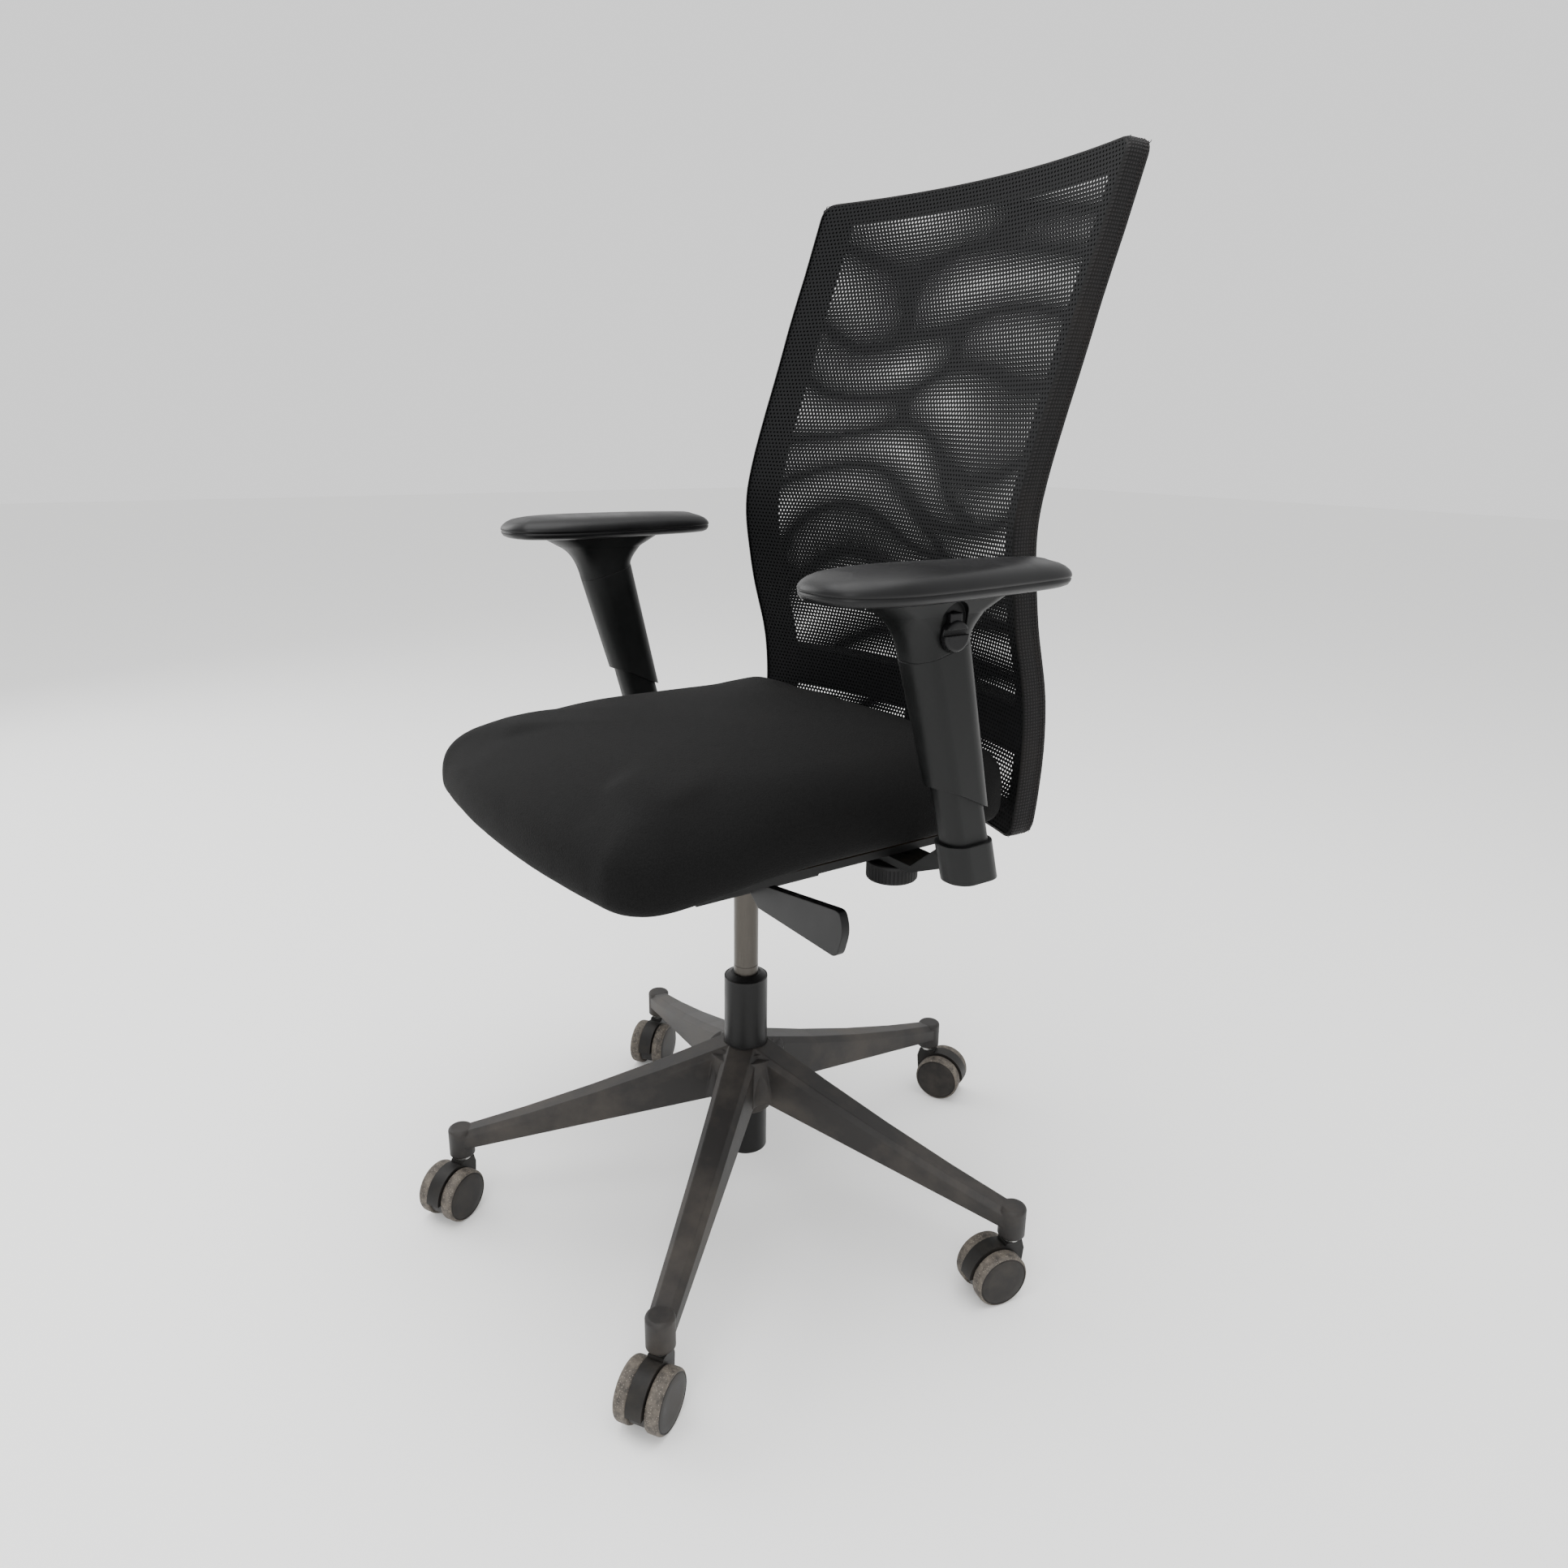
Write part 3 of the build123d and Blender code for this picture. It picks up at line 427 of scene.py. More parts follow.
def skinned_foam():
    """Smooth skin of the arm pads, with a dull wear bloom on top."""
    made, tree, shader = blank("arm_pad_skinned_polyurethane")
    where = add(tree, "ShaderNodeTexCoord").outputs["Object"]
    patches = noise(tree, where, 45, 5.0)
    skin = ramp(tree, patches, 0.4, 0.7, hue("#070708"), hue("#0d0d0e"))
    tree.links.new(skin, shader.inputs["Base Color"])
    shader.inputs["Specular IOR Level"].default_value = 0.24
    gloss = add(tree, "ShaderNodeMapRange", Value=patches, From_Min=0.3, From_Max=0.7,
                To_Min=0.34, To_Max=0.5)
    tree.links.new(gloss.outputs[0], shader.inputs["Roughness"])
    relief(tree, shader, noise(tree, where, 0.9, 2.0), 0.03)
    return made


seat_fabric = crepe_fabric()
net_thread = mesh_fabric()
band_weave = band_fabric()
pad_skin = skinned_foam()
stitch_thread = plastic("stitching_thread", "#1a1716", "#2c2622", 0.6, 0.4, 0.05, 8)

# %% [markdown]
# ## The backrest's curve
# The front skin of the CAD backrest is probed with rays to get its depth at any place, so
# the sock follows exactly the same curve as the frame inside it.

# %% Back curve
front_low, front_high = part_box("back_mesh_front")
rear_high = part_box("back_mesh_rear")[1]
graph = bpy.context.evaluated_depsgraph_get()
probe = BVHTree.FromObject(nodes["back_mesh_front"], graph)
HALF_BACK = front_high.x
LOW_BACK = front_low.z
HIGH_BACK = front_high.z
across = np.linspace(-HALF_BACK + 0.001, HALF_BACK - 0.001, 25)
upward = np.linspace(LOW_BACK + 0.001, HIGH_BACK - 0.001, 67)


def probed(x, z):
    """Depth of the front skin at one place."""
    return probe.ray_cast(Vector((x, -0.5, z)), Vector((0, 1, 0)))[0].y


# The skin is one side profile carried across a shallow hollow, so a middle column and a
# middle row are enough to give every place, rounded corners included.
middle_z = (LOW_BACK + HIGH_BACK) / 2
profile = np.array([probed(0.0, z) for z in upward])
hollow = np.array([probed(x, middle_z) for x in across]) - probed(0.0, middle_z)
depth = profile[:, None] + hollow[None, :]
print("back curve depth", round(float(depth.min()), 4), round(float(depth.max()), 4))


def back_y(x, z):
    """Depth of the backrest's front skin at each x and z."""
    u = np.clip((np.asarray(x) - across[0]) / (across[-1] - across[0]), 0, 1) * (len(across) - 1)
    v = np.clip((np.asarray(z) - upward[0]) / (upward[-1] - upward[0]), 0, 1) * (len(upward) - 1)
    i = np.minimum(u.astype(int), len(across) - 2)
    j = np.minimum(v.astype(int), len(upward) - 2)
    s, t = u - i, v - j
    low = depth[j, i] * (1 - s) + depth[j, i + 1] * s
    high = depth[j + 1, i] * (1 - s) + depth[j + 1, i + 1] * s
    return low * (1 - t) + high * t


BACK_DEPTH = float(rear_high.y - front_high.y)
print("backrest thickness", round(BACK_DEPTH * 1000, 1), "mm")

# %% [markdown]
# ## Mesh sock: the net
# The real cloth is a warp-knitted net with staggered holes about 5 mm apart, open enough to
# see through. The tree below lays one six-sided ring of thread on every point of a staggered
# grid, so the holes are real and the moire between the two layers appears by itself. The flat
# net is then laid on the back's curve: one layer in front of the frame and one behind it.

# %% Net tree
def net_tree():
    """Staggered rings of thread filling a flat rectangle."""
    tree, given, result = new_tree("knitted_net", [
        ("Width", "NodeSocketFloat"), ("Height", "NodeSocketFloat"), ("Columns", "NodeSocketInt"),
        ("Rows", "NodeSocketInt"), ("Pitch", "NodeSocketFloat"), ("Ring", "NodeSocketFloat"),
        ("Hole", "NodeSocketFloat"), ("Thread", "NodeSocketMaterial")])
    grid = add(tree, "GeometryNodeMeshGrid", Size_X=given.outputs["Width"], Size_Y=given.outputs["Height"],
               Vertices_X=given.outputs["Columns"], Vertices_Y=given.outputs["Rows"])
    index = add(tree, "GeometryNodeInputIndex").outputs[0]
    row = add(tree, "ShaderNodeMath", {"operation": "MODULO"}, i0=index, i1=given.outputs["Rows"]).outputs[0]
    odd = add(tree, "ShaderNodeMath", {"operation": "MODULO"}, i0=row, i1=2.0).outputs[0]
    step = add(tree, "ShaderNodeMath", {"operation": "MULTIPLY"}, i0=given.outputs["Pitch"], i1=0.5)
    slide = add(tree, "ShaderNodeMath", {"operation": "MULTIPLY"}, i0=odd, i1=step.outputs[0]).outputs[0]
    offset = add(tree, "ShaderNodeCombineXYZ", X=slide).outputs[0]
    points = add(tree, "GeometryNodeSetPosition", Geometry=grid.outputs[0], Offset=offset)
    disc = add(tree, "GeometryNodeMeshCircle", {"fill_type": "NGON"}, Vertices=6,
               Radius=given.outputs["Ring"])
    turned = add(tree, "GeometryNodeTransform", Geometry=disc.outputs[0], Rotation=(0, 0, math.radians(30)))
    pulled = add(tree, "GeometryNodeExtrudeMesh", {"mode": "FACES"}, Mesh=turned.outputs[0],
                 Offset_Scale=0.0)
    scaled = add(tree, "GeometryNodeScaleElements", Geometry=pulled.outputs[0],
                 Selection=pulled.outputs[1], Scale=given.outputs["Hole"])
    ring = add(tree, "GeometryNodeDeleteGeometry", {"domain": "FACE"}, Geometry=scaled.outputs[0],
               Selection=pulled.outputs[1])
    placed = add(tree, "GeometryNodeInstanceOnPoints", Points=points.outputs[0], Instance=ring.outputs[0])
    real = add(tree, "GeometryNodeRealizeInstances", Geometry=placed.outputs[0])
    dressed = add(tree, "GeometryNodeSetMaterial", Geometry=real.outputs[0],
                  Material=given.outputs["Thread"])
    tree.links.new(dressed.outputs[0], result.inputs[0])
    return tree


NET_PITCH = 5.0 * MM
NET_HOLE = 0.46               # width of a hole, as a share of its ring
REAR_PITCH = NET_PITCH * 0.965
REAR_DRIFT = 3.4 * MM
knitted = net_tree()


def net_layer(name, low, high, behind, pitch, drift):
    """One layer of net between two corners, a distance behind the front skin. Drift is how far
    uneven stretching has moved its stitches."""
    width, height = high[0] - low[0], high[1] - low[1]
    columns = int(width / pitch)
    rows = int(height / (pitch * math.sqrt(0.75))) + 1
    made = run_tree(knitted, name, bpy.data.meshes.new("seed"), {
        "Width": (columns - 1) * pitch, "Height": (rows - 1) * pitch * math.sqrt(0.75), "Columns": columns,
        "Rows": rows, "Pitch": pitch, "Ring": pitch / math.sqrt(3), "Hole": NET_HOLE, "Thread": net_thread})
    flat = np.empty(len(made.data.vertices) * 3)
    made.data.vertices.foreach_get("co", flat)
    flat = flat.reshape(-1, 3)
    flat[:, 0] += (low[0] + high[0]) / 2 - pitch / 4
    flat[:, 1] += (low[1] + high[1]) / 2
    u = flat[:, 0] / width * 2
    v = (flat[:, 1] - low[1]) / height
    fade = np.clip(1 - u ** 2, 0, 1) * np.clip(4 * v * (1 - v), 0, 1)
    wave = np.sin(7.5 * v + 1.6 * u) + 0.6 * np.sin(11 * v - 2.6 * u + 1.0) + 0.5 * np.sin(4.2 * u * v + 2.0)
    flat[:, 1] += drift * fade * wave
    flat[:, 0] += 0.5 * drift * fade * np.sin(5 * v + 3 * u)
    x = np.clip(flat[:, 0], low[0], high[0])
    z = np.clip(flat[:, 1], low[1], high[1])
    made.data.vertices.foreach_set("co", np.stack([x, back_y(x, z) + behind, z], 1).ravel())
    made.data.update()
    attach(made, "back")
    print(name, "triangles", sum(len(p.vertices) - 2 for p in made.data.polygons))
    return made, width * height * (1 - NET_HOLE ** 2), (width, height)


SEAM = 0.002
SKIN_GAP = 0.0002
net_low = (-HALF_BACK + SEAM, LOW_BACK + SEAM)
net_high = (HALF_BACK - SEAM, HIGH_BACK - SEAM)
front_net, front_area, front_flat = net_layer(
    "mesh_sock_front_net", net_low, net_high, -SKIN_GAP, NET_PITCH, 0.0)
rear_net, rear_area, rear_flat = net_layer(
    "mesh_sock_rear_net", net_low, net_high, BACK_DEPTH, REAR_PITCH, REAR_DRIFT)

# %% [markdown]
# ## Mesh sock: the edge band
# A woven band joins the two nets round the frame's side. It is cut as one strip, wraps the
# edge with a slight bulge, and is sewn with two rows of stitches near its rear edge.

# %% Edge band
def outline_path(half_width, low, high, radius, pitch):
    """Rounded rectangle in x and z, with its outward directions."""
    centres = [(half_width - radius, low + radius, -90), (half_width - radius, high - radius, 0),
               (radius - half_width, high - radius, 90), (radius - half_width, low + radius, 180)]
    corners = []
    for x, z, start in centres:
        for turn in np.linspace(start, start + 90, 7):
            a = math.radians(turn)
            corners.append((x + radius * math.cos(a), z + radius * math.sin(a)))
    ring = np.array(corners + corners[:1])
    gaps = np.hypot(*np.diff(ring, axis=0).T)
    travelled = np.concatenate([[0], np.cumsum(gaps)])
    count = int(travelled[-1] / pitch)
    marks = np.linspace(0, travelled[-1], count, endpoint=False)
    spots = np.stack([np.interp(marks, travelled, ring[:, k]) for k in (0, 1)], 1)
    ahead = np.roll(spots, -1, 0) - np.roll(spots, 1, 0)
    ahead /= np.linalg.norm(ahead, axis=1)[:, None]
    return spots, np.stack([ahead[:, 1], -ahead[:, 0]], 1), travelled[-1]


def back_outline(pitch):
    """The backrest's outline, just inside its CAD box, with a point every pitch."""
    inside = 0.0006
    return outline_path(HALF_BACK - inside, LOW_BACK + inside, HIGH_BACK - inside, 15 * MM, pitch)


def edge_band():
    """The woven strip round the backrest's side."""
    spots, out, length = back_outline(4 * MM)
    shares = [0, 0.03, 0.12, 0.3, 0.5, 0.62, 0.74, 0.78, 0.88, 0.97, 1.0]
    bulge = [-3.0, 0.0, 0.7, 1.1, 1.2, 1.1, 0.6, 0.9, 1.0, 0.2, -3.0]
    points, across_cloth = [], []
    for share, swell in zip(shares, bulge):
        place = spots + out * swell * MM
        y = back_y(spots[:, 0], spots[:, 1]) - 0.0008 + share * (BACK_DEPTH + 0.0016)
        points.append(np.stack([place[:, 0], y, place[:, 1]], 1))
        across_cloth.append(share * BACK_DEPTH)
    count = len(spots)
    faces, marks = [], []
    for row in range(len(shares) - 1):
        for k in range(count):
            after = (k + 1) % count
            low, high = row * count, (row + 1) * count
            faces.append((low + k, low + after, high + after, high + k))
            along = (k * length / count, (k + 1) * length / count)
            marks += [(along[0], across_cloth[row]), (along[1], across_cloth[row]),
                      (along[1], across_cloth[row + 1]), (along[0], across_cloth[row + 1])]
    made = new_piece("mesh_sock_edge_band", np.concatenate(points), faces, band_weave, "back")
    layer = made.data.uv_layers.new(name="weave")
    layer.data.foreach_set("uv", np.array(marks).ravel())
    return made, length


band, band_length = edge_band()
print("edge band length", round(band_length, 3), "m")

# %% [markdown]
# ## Stitches
# Each row is a fine thread that dips in and out of the cloth. The tree runs along a path,
# sets a point every stitch, and lays a short thread there in the path's direction.

# %% Stitches
def stitch_tree():
    """Short threads laid along a path."""
    tree, given, result = new_tree("stitch_row", [
        ("Step", "NodeSocketFloat"), ("Length", "NodeSocketFloat"),
        ("Radius", "NodeSocketFloat"), ("Thread", "NodeSocketMaterial")])
    path = add(tree, "GeometryNodeMeshToCurve", Mesh=given.outputs["Geometry"])
    marks = add(tree, "GeometryNodeCurveToPoints", {"mode": "LENGTH"}, Curve=path.outputs[0],
                Length=given.outputs["Step"])
    bead = add(tree, "GeometryNodeMeshUVSphere", Segments=6, Rings=4, Radius=1.0)
    size = add(tree, "ShaderNodeCombineXYZ", X=given.outputs["Radius"], Y=given.outputs["Radius"],
               Z=given.outputs["Length"])
    laid = add(tree, "GeometryNodeInstanceOnPoints", Points=marks.outputs[0], Instance=bead.outputs[0],
               Rotation=marks.outputs["Rotation"], Scale=size.outputs[0])
    real = add(tree, "GeometryNodeRealizeInstances", Geometry=laid.outputs[0])
    dressed = add(tree, "GeometryNodeSetMaterial", Geometry=real.outputs[0],
                  Material=given.outputs["Thread"])
    tree.links.new(dressed.outputs[0], result.inputs[0])
    return tree


def stitch_row(name, loops, step, body):
    """Stitches along closed loops of points."""
    points, edges = [], []
    for loop in loops:
        start = len(points)
        points += [tuple(p) for p in loop]
        edges += [(start + k, start + (k + 1) % len(loop)) for k in range(len(loop))]
    mesh = bpy.data.meshes.new(name + "_path")
    mesh.from_pydata(points, edges, [])
    made = run_tree(sewing, name, mesh, {
        "Step": step, "Length": step * 0.36, "Radius": 0.45 * MM, "Thread": stitch_thread})
    made.data.polygons.foreach_set("use_smooth", [True] * len(made.data.polygons))
    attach(made, body)
    print(name, "triangles", sum(len(p.vertices) - 2 for p in made.data.polygons))
    return made


sewing = stitch_tree()
spots, out = back_outline(3 * MM)[:2]
rows = []
for share in (0.70, 0.84):
    place = spots + out * 1.2 * MM
    y = back_y(spots[:, 0], spots[:, 1]) + share * BACK_DEPTH
    rows.append(np.stack([place[:, 0], y, place[:, 1]], 1))
stitches = stitch_row("mesh_sock_stitches", rows, 4.2 * MM, "back")
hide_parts("back_mesh_front")
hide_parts("back_mesh_rear")

# %% [markdown]
# ## Seat cushion
# Cut foam on a plywood board, covered in crepe and pulled down over the front edge. The start
# shape is a ring-built form a little smaller than the finished seat, and it already has most of
# the crown. It is remeshed evenly and inflated as cloth with its underside pinned. A fifth of
# that growth is kept, up to a cap, and smoothed, so that the seat keeps its size.

# %% Seat form
seat_low, seat_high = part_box("seat_cushion")
board_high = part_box("seat_board")[1]
SHRINK = 3.0 * MM


def seat_outline(count):
    """Plan of the seat: bowed front and rear, straight sides, rounded corners, as even points."""
    x = seat_high.x - SHRINK
    nose = seat_low.y + SHRINK
    front = nose + 14 * MM
    rear = seat_high.y - SHRINK
    f, r = 50 * MM, 38 * MM
    bow = 13 * MM
    line = []
    for a in np.linspace(-math.pi / 2, 0, 12):
        line.append((x - f + f * math.cos(a), front + f + f * math.sin(a)))
    for a in np.linspace(0, math.pi / 2, 10):
        line.append((x - r + r * math.cos(a), rear - bow - r + r * math.sin(a)))
    for share in np.linspace(1, -1, 17)[1:-1]:
        line.append((share * (x - r), rear - bow * share ** 2))
    for a in np.linspace(math.pi / 2, math.pi, 10):
        line.append((r - x + r * math.cos(a), rear - bow - r + r * math.sin(a)))
    for a in np.linspace(math.pi, 1.5 * math.pi, 12):
        line.append((f - x + f * math.cos(a), front + f + f * math.sin(a)))
    for share in np.linspace(-1, 1, 17)[1:-1]:
        line.append((share * (x - f), nose + 14 * MM * share ** 2))
    return even_points(line, count)


def seat_form():
    """Closed start shape from rings that shrink towards the middle above and below."""
    ring = seat_outline(240)
    middle = np.array([0, (seat_low.y + seat_high.y) / 2])
    ahead = np.roll(ring, -1, 0) - np.roll(ring, 1, 0)
    ahead /= np.linalg.norm(ahead, axis=1)[:, None]
    inward = np.stack([-ahead[:, 1], ahead[:, 0]], 1)
    front = np.clip((-0.06 - ring[:, 1]) / 0.18, 0, 1)
    front = front * front * (3 - 2 * front)
    rear = np.clip((ring[:, 1] - 0.08) / 0.1, 0, 1)
    top_round = (58 + 62 * front - 22 * rear) * MM
    top_drop = (40 + 16 * front - 8 * rear) * MM
    low_round = (13 + 9 * front) * MM
    edge_low = seat_low.z + (14 * (1 - front) + 1) * MM
    low_drop = (12 + 8 * front) * MM
    top = seat_high.z - SHRINK
    rings = []
    for share in (0.0, 0.35, 0.6):
        inner = middle + (ring - middle) * share
        rings.append(np.column_stack([inner, np.full(len(ring), board_high.z + 0.4 * MM)]))
    edge = middle + (ring - middle) * 0.8
    rings.append(np.column_stack([edge, np.full(len(ring), board_high.z + 0.4 * MM)]))
    rings.append(np.column_stack([ring + inward * 34 * MM, edge_low + 5 * MM * front]))
    for a in np.linspace(0, math.pi / 2, 6):
        spot = ring + inward * (low_round * (1 - math.sin(a)))[:, None]
        rings.append(np.column_stack([spot, edge_low + low_drop * (1 - math.cos(a))]))
    for a in np.linspace(0, math.pi / 2, 12)[1:]:
        spot = ring + inward * (top_round * (1 - math.cos(a)))[:, None]
        rings.append(np.column_stack([spot, top - top_drop * (1 - math.sin(a))]))
    base_ring = ring + inward * top_round[:, None]
    for share in (0.85, 0.6, 0.3, 0.0):
        inner = middle + (base_ring - middle) * share
        rings.append(np.column_stack([inner, np.full(len(ring), top + (1 - share) * 3 * MM)]))
    return np.concatenate(rings), ring_faces(len(rings), len(ring))


points, faces = seat_form()
seat = new_piece("seat_cushion_upholstered", points, faces, seat_fabric, None)
print("seat start form", len(points), "points")

# %% [markdown]
# The cloth solver needs even quads, so the form is remeshed at 6 mm. Only the underside is
# pinned. Twenty frames of pressure without gravity are enough for a filled cover.

# %% Seat cloth
def apply_all(obj):
    """Bakes the modifiers into the mesh."""
    graph = bpy.context.evaluated_depsgraph_get()
    mesh = bpy.data.meshes.new_from_object(obj.evaluated_get(graph))
    obj.modifiers.clear()
    obj.data = mesh


def remesh(obj, size_mm):
    """Even quads of one size."""
    modifier = obj.modifiers.new("even", "REMESH")
    modifier.mode = "VOXEL"
    modifier.voxel_size = size_mm * MM
    modifier.use_smooth_shade = True
    apply_all(obj)


def coordinates(mesh):
    """Vertex places as an array."""
    flat = np.empty(len(mesh.vertices) * 3)
    mesh.vertices.foreach_get("co", flat)
    return flat.reshape(-1, 3)


def inflate(obj, pressure, pinned_below, cap_mm, keep):
    """Inflates a form as cloth and keeps part of the growth, never more than the cap."""
    start = coordinates(obj.data)
    group = obj.vertex_groups.new(name="pinned")
    normals = np.empty(len(start) * 3)
    obj.data.vertices.foreach_get("normal", normals)
    down = normals.reshape(-1, 3)[:, 2] < -0.4
    held = [int(k) for k in np.nonzero(down & (start[:, 2] < pinned_below))[0]]
    group.add(held, 1.0, "REPLACE")
    cloth = obj.modifiers.new("cloth", "CLOTH")
    cloth.settings.quality = 5
    cloth.settings.mass = 0.3
    cloth.settings.tension_stiffness = 22
    cloth.settings.compression_stiffness = 22
    cloth.settings.shear_stiffness = 12
    cloth.settings.bending_stiffness = 0.6
    cloth.settings.vertex_group_mass = "pinned"
    cloth.settings.use_pressure = True
    cloth.settings.uniform_pressure_force = pressure
    cloth.settings.effector_weights.gravity = 0.0
    scene = bpy.context.scene
    for number in range(1, 21):
        scene.frame_set(number)
    graph = bpy.context.evaluated_depsgraph_get()
    grown = coordinates(obj.evaluated_get(graph).data)
    scene.frame_set(1)
    obj.modifiers.clear()
    move = (grown - start) * keep
    reach = np.linalg.norm(move, axis=1)
    largest, mean = (round(float(v) * 1000, 1) for v in (reach.max(), reach.mean()))
    print(obj.name, "largest growth", largest, "mm, mean", mean)
    move *= np.minimum(1, cap_mm * MM / np.maximum(reach, 1e-9))[:, None]
    obj.data.vertices.foreach_set("co", (start + move).ravel())
    obj.data.update()


remesh(seat, 6.0)
seat.data.materials.clear()
seat.data.materials.append(seat_fabric)
inflate(seat, pressure=4.0, pinned_below=seat_low.z + 0.03, cap_mm=24.0, keep=0.2)
smoother = seat.modifiers.new("relax", "SMOOTH")
smoother.factor = 0.5
smoother.iterations = 14
finer = seat.modifiers.new("finer", "SUBSURF")
finer.levels = 1
finer.render_levels = 1
apply_all(seat)
seat.data.polygons.foreach_set("use_smooth", [True] * len(seat.data.polygons))
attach(seat, "seat")
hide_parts("seat_cushion")
print("seat size", [round(v, 4) for v in seat.dimensions])

# %% [markdown]
# ## Arm pads
# A stiff core under skinned polyurethane: broad and blunt at the front, narrow at the rear,
# crowned on top, with a parting groove low on its side. It is foam that holds its own shape,
# so it is built as rings of a swelling section and needs no cloth simulation.

# %% Arm pads
# Inset from the side, height above the underside (both mm) and share of the droop at the ends.
PAD_LEVELS = [
    (16.0, 0.0, 0), (7.0, 0.3, 0), (2.8, 2.2, 0), (0.9, 5.0, 0), (0.3, 7.4, 0), (1.1, 7.9, 0),
    (1.1, 8.5, 0), (0.1, 9.0, 0), (0.0, 11.5, 0.2), (0.8, 14.6, 0.5), (2.8, 18.0, 0.8),
    (6.5, 21.4, 1), (12.0, 23.8, 1), (20.0, 25.4, 1)]


def pad_outline(half_width, front, rear, count):
    """Plan of a pad about its own centre line, as even points."""
    right = [(0.0, front), (half_width * 0.44, front + 4 * MM), (half_width * 0.78, front + 19 * MM),
             (half_width, front + 62 * MM), (half_width * 0.95, -0.015), (half_width * 0.78, 0.06),
             (half_width * 0.66, rear - 22 * MM), (half_width * 0.45, rear - 4 * MM), (0.0, rear)]
    line = np.array(right + [(-x, y) for x, y in reversed(right[1:-1])])
    smooth = []
    for k in range(len(line)):
        a, b, c, d = (line[(k + shift) % len(line)] for shift in (-1, 0, 1, 2))
        for t in np.linspace(0, 1, 12, endpoint=False):
            slope = (c - a) * t + (2 * a - 5 * b + 4 * c - d) * t ** 2
            smooth.append(0.5 * (2 * b + slope + (3 * b - a - 3 * c + d) * t ** 3))
    return even_points(smooth, count)


def arm_pad(name, node, body):
    """One pad fitted to its CAD node's box."""
    low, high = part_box(node)
    centre = (low.x + high.x) / 2
    ring = pad_outline((high.x - low.x) / 2, low.y, high.y, 160)
    ahead = np.roll(ring, -1, 0) - np.roll(ring, 1, 0)
    ahead /= np.linalg.norm(ahead, axis=1)[:, None]
    inward = np.stack([-ahead[:, 1], ahead[:, 0]], 1)
    spine = np.column_stack([np.zeros(len(ring)), np.clip(ring[:, 1], low.y + 0.04, high.y - 0.03)])
    share = np.abs((ring[:, 1] - (low.y + high.y) / 2) / ((high.y - low.y) / 2))
    droop = 3.0 * MM * share ** 3
    lift = 1.0 * MM * share ** 3
    rings = []
    for inset, height, sag in PAD_LEVELS:
        spot = ring + inward * inset * MM
        z = low.z + height * MM + lift * (1 - sag) - droop * sag
        rings.append(np.column_stack([spot, z]))
    crest = rings[-1]
    for share_in in (0.66, 0.33, 0.0):
        spot = spine + (crest[:, :2] - spine) * share_in
        far = np.abs((spot[:, 1] - (low.y + high.y) / 2) / ((high.y - low.y) / 2))
        crown = (25.4 + 1.4 * (1 - share_in ** 2)) * MM
        rings.append(np.column_stack([spot, low.z + crown - 3.0 * MM * far ** 3]))
    under = rings[0].copy()
    under[:, :2] = spine + (under[:, :2] - spine) * 0.02
    rings.insert(0, under)
    faces = ring_faces(len(rings), len(ring))
    faces.append(tuple(reversed(range(len(ring)))))
    points = np.concatenate(rings) + np.array([centre, 0, 0])
    made = new_piece(name, points, faces, pad_skin, body)
    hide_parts(node)
    return made


for side in ("left", "right"):
    pad = arm_pad("arm_pad_skinned_" + side, "arm_pad_" + side, "sleeve_" + side)
    print(pad.name, [round(v, 4) for v in pad.dimensions])

# %% [markdown]
# ## Caster wheels
# Each wheel is a nylon moulding with a rounded tread and a flat cap pressed into its outer
# side. The treads are scuffed to a speckled grey-tan, the caps stay dark with a dusty bloom.
# The profile is turned about the wheel's own axle, found from its joint.

# %% Wheels
def scuffed_tread():
    """Nylon worn by floors: pale speckles over grey-tan."""
    made, tree, shader = blank("scuffed_tread_nylon")
    where = add(tree, "ShaderNodeTexCoord").outputs["Object"]
    patches = noise(tree, where, 9, 6.0, 0.7)
    specks = add(tree, "ShaderNodeTexVoronoi", {"feature": "F1"}, Vector=where, Scale=per(2.2))
    worn = ramp(tree, patches, 0.35, 0.68, hue("#2e2a26"), hue("#5e574e"))
    dots = ramp(tree, specks.outputs[0], 0.12, 0.3, (0.75, 0.75, 0.75, 1), (0, 0, 0, 1))
    tree.links.new(blend_colour(tree, dots, worn, hue("#7d756b")), shader.inputs["Base Color"])
    shader.inputs["Roughness"].default_value = 0.75
    relief(tree, shader, patches, 0.3)
    return made


tread_nylon = scuffed_tread()
cap_nylon = plastic("wheel_cap_nylon", "#1a1817", "#302c28", 0.5, 0.6, 0.04, 26, (0.4, 0.75))
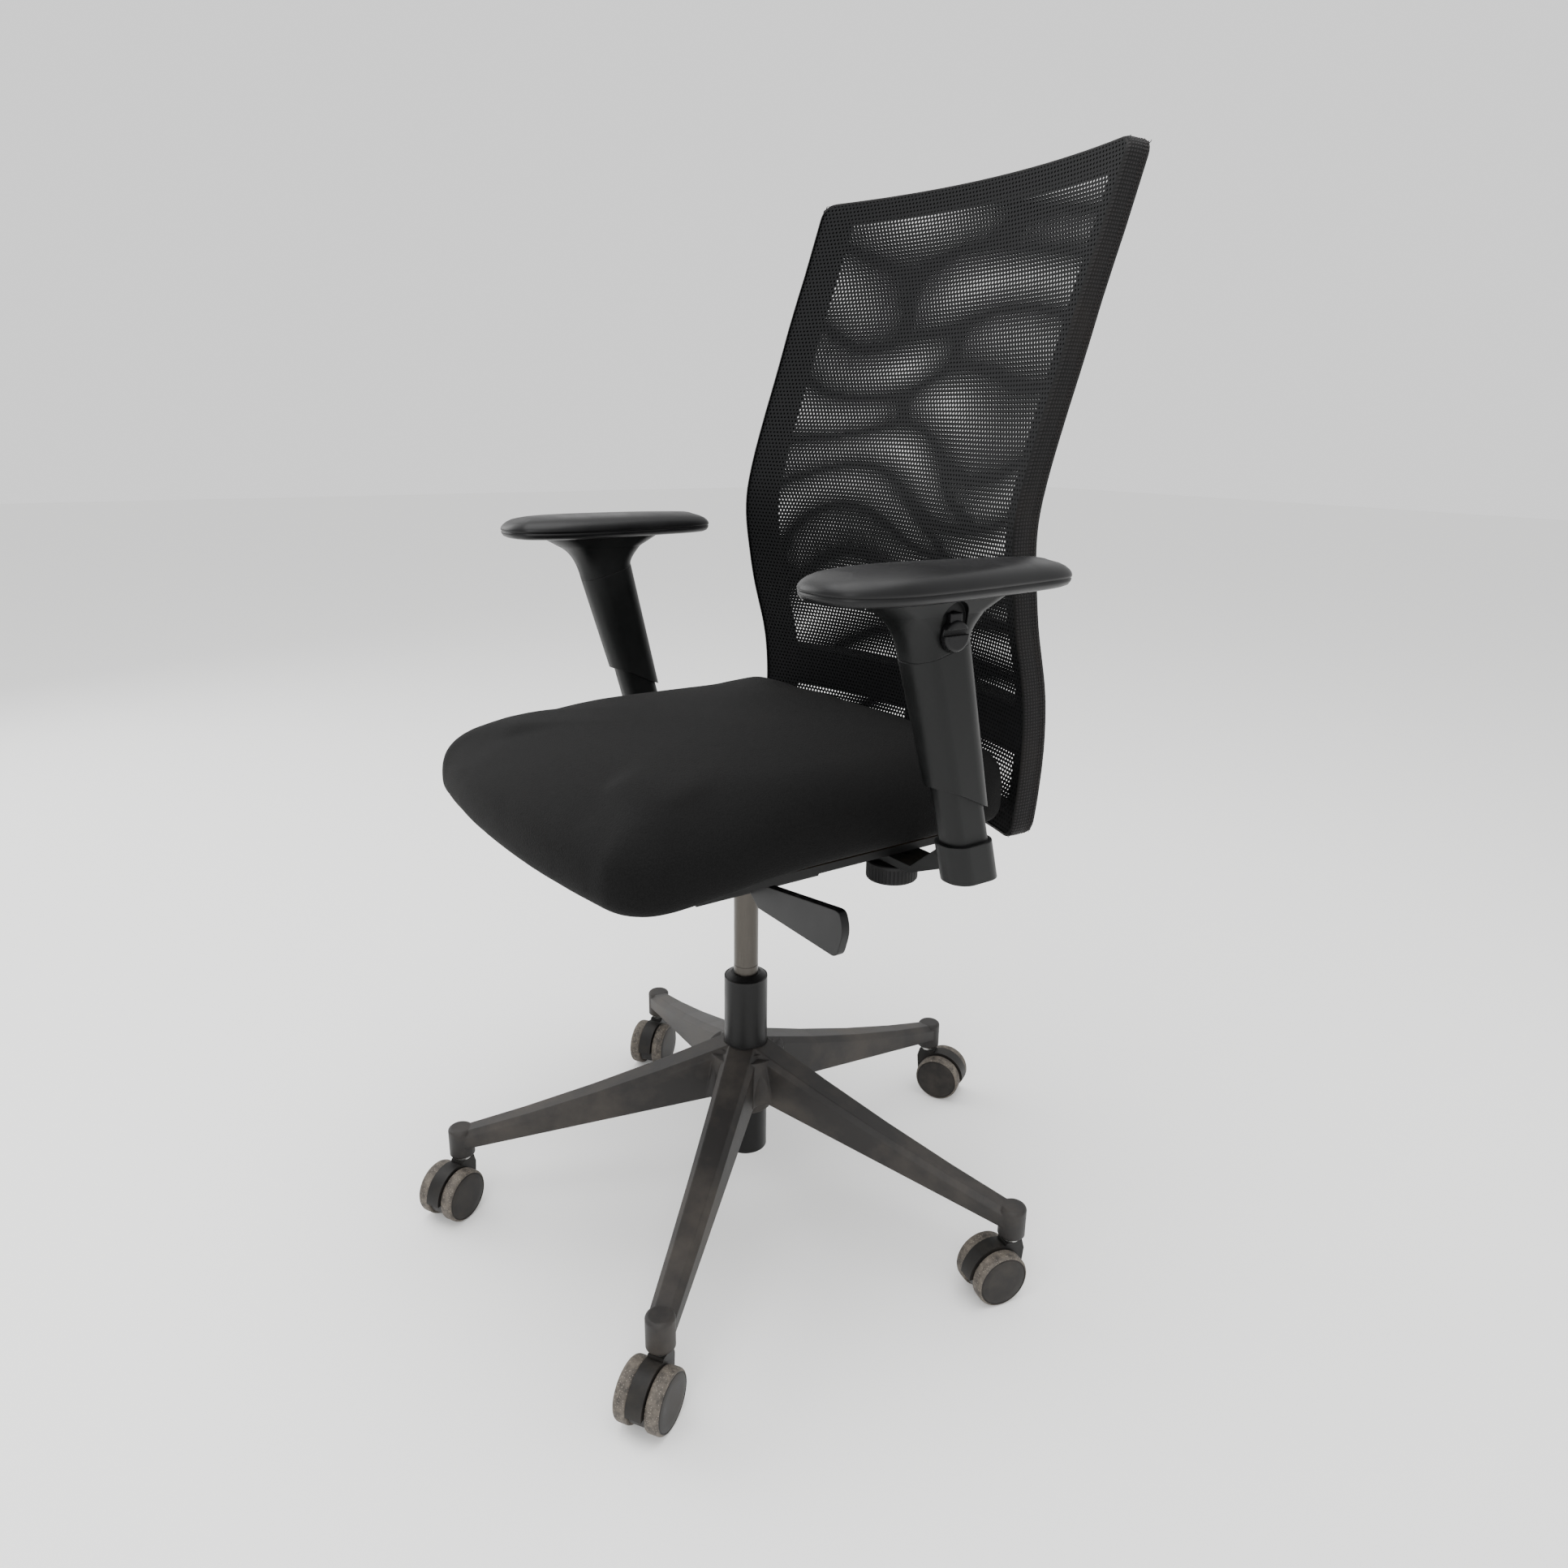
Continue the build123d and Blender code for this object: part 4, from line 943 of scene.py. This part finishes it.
# Radius and place along the axle (both mm), then 0 for tread or 1 for cap.
WHEEL = [
    (4.1, 9.0, 1), (13.5, 9.0, 1), (14.0, 9.5, 1), (14.2, 13.6, 1), (23.4, 13.6, 1), (23.6, 9.8, 1),
    (24.2, 9.4, 1), (28.2, 9.4, 0), (29.4, 9.9, 0), (29.9, 11.0, 0), (30.0, 12.6, 0), (30.0, 19.4, 0),
    (29.85, 21.2, 0), (29.3, 22.6, 0), (28.3, 23.6, 0), (27.4, 23.9, 0), (26.9, 23.7, 1),
    (26.6, 23.2, 1), (26.3, 23.2, 1), (26.0, 23.7, 1), (25.2, 24.0, 1), (18.0, 24.0, 1),
    (9.0, 24.0, 1), (0.0, 24.0, 1)]


def wheel(label, turns):
    """One wheel, turned about the axle given by its joint."""
    joint = joints["wheel_spin_" + label]
    axis = Vector(joint["axis"]).normalized() * (1 if label[-1] == "a" else -1)
    centre = Vector(joint["pos_m"])
    upward = Vector((0, 0, 1))
    level = axis.cross(upward).normalized()
    points, faces, looks = [], [], []
    for radius, along, _ in WHEEL:
        for k in range(turns):
            a = 2 * math.pi * k / turns
            out = level * math.cos(a) + upward * math.sin(a)
            points.append(centre + axis * along * MM + out * radius * MM)
    for row in range(len(WHEEL) - 1):
        for k in range(turns):
            after = (k + 1) % turns
            low, high = row * turns, (row + 1) * turns
            faces.append((low + k, high + k, high + after, low + after))
            looks.append(WHEEL[row + 1][2])
    made = new_piece("caster_wheel_turned_" + label, points, faces, [tread_nylon, cap_nylon],
                     "wheel_" + label)
    made.data.polygons.foreach_set("material_index", looks)
    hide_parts("caster_wheel_" + label)
    return made


for number in range(1, 6):
    for letter in "ab":
        turned = wheel(f"{number}{letter}", 72)
print("wheel", [round(v, 4) for v in turned.dimensions])

# %% [markdown]
# ## Outward normals
# Every closed piece made here is checked once: its faces must look outwards. The two nets and
# the edge band are open cloth, so they stay as they were laid.

# %% Normals
import bmesh

for obj in list(bpy.context.scene.objects):
    if obj.type != "MESH" or obj.name in nodes or obj == floor or "net" in obj.name or "band" in obj.name:
        continue
    cage = bmesh.new()
    cage.from_mesh(obj.data)
    bmesh.ops.remove_doubles(cage, verts=cage.verts, dist=1e-6)
    bmesh.ops.recalc_face_normals(cage, faces=cage.faces)
    cage.to_mesh(obj.data)
    cage.free()
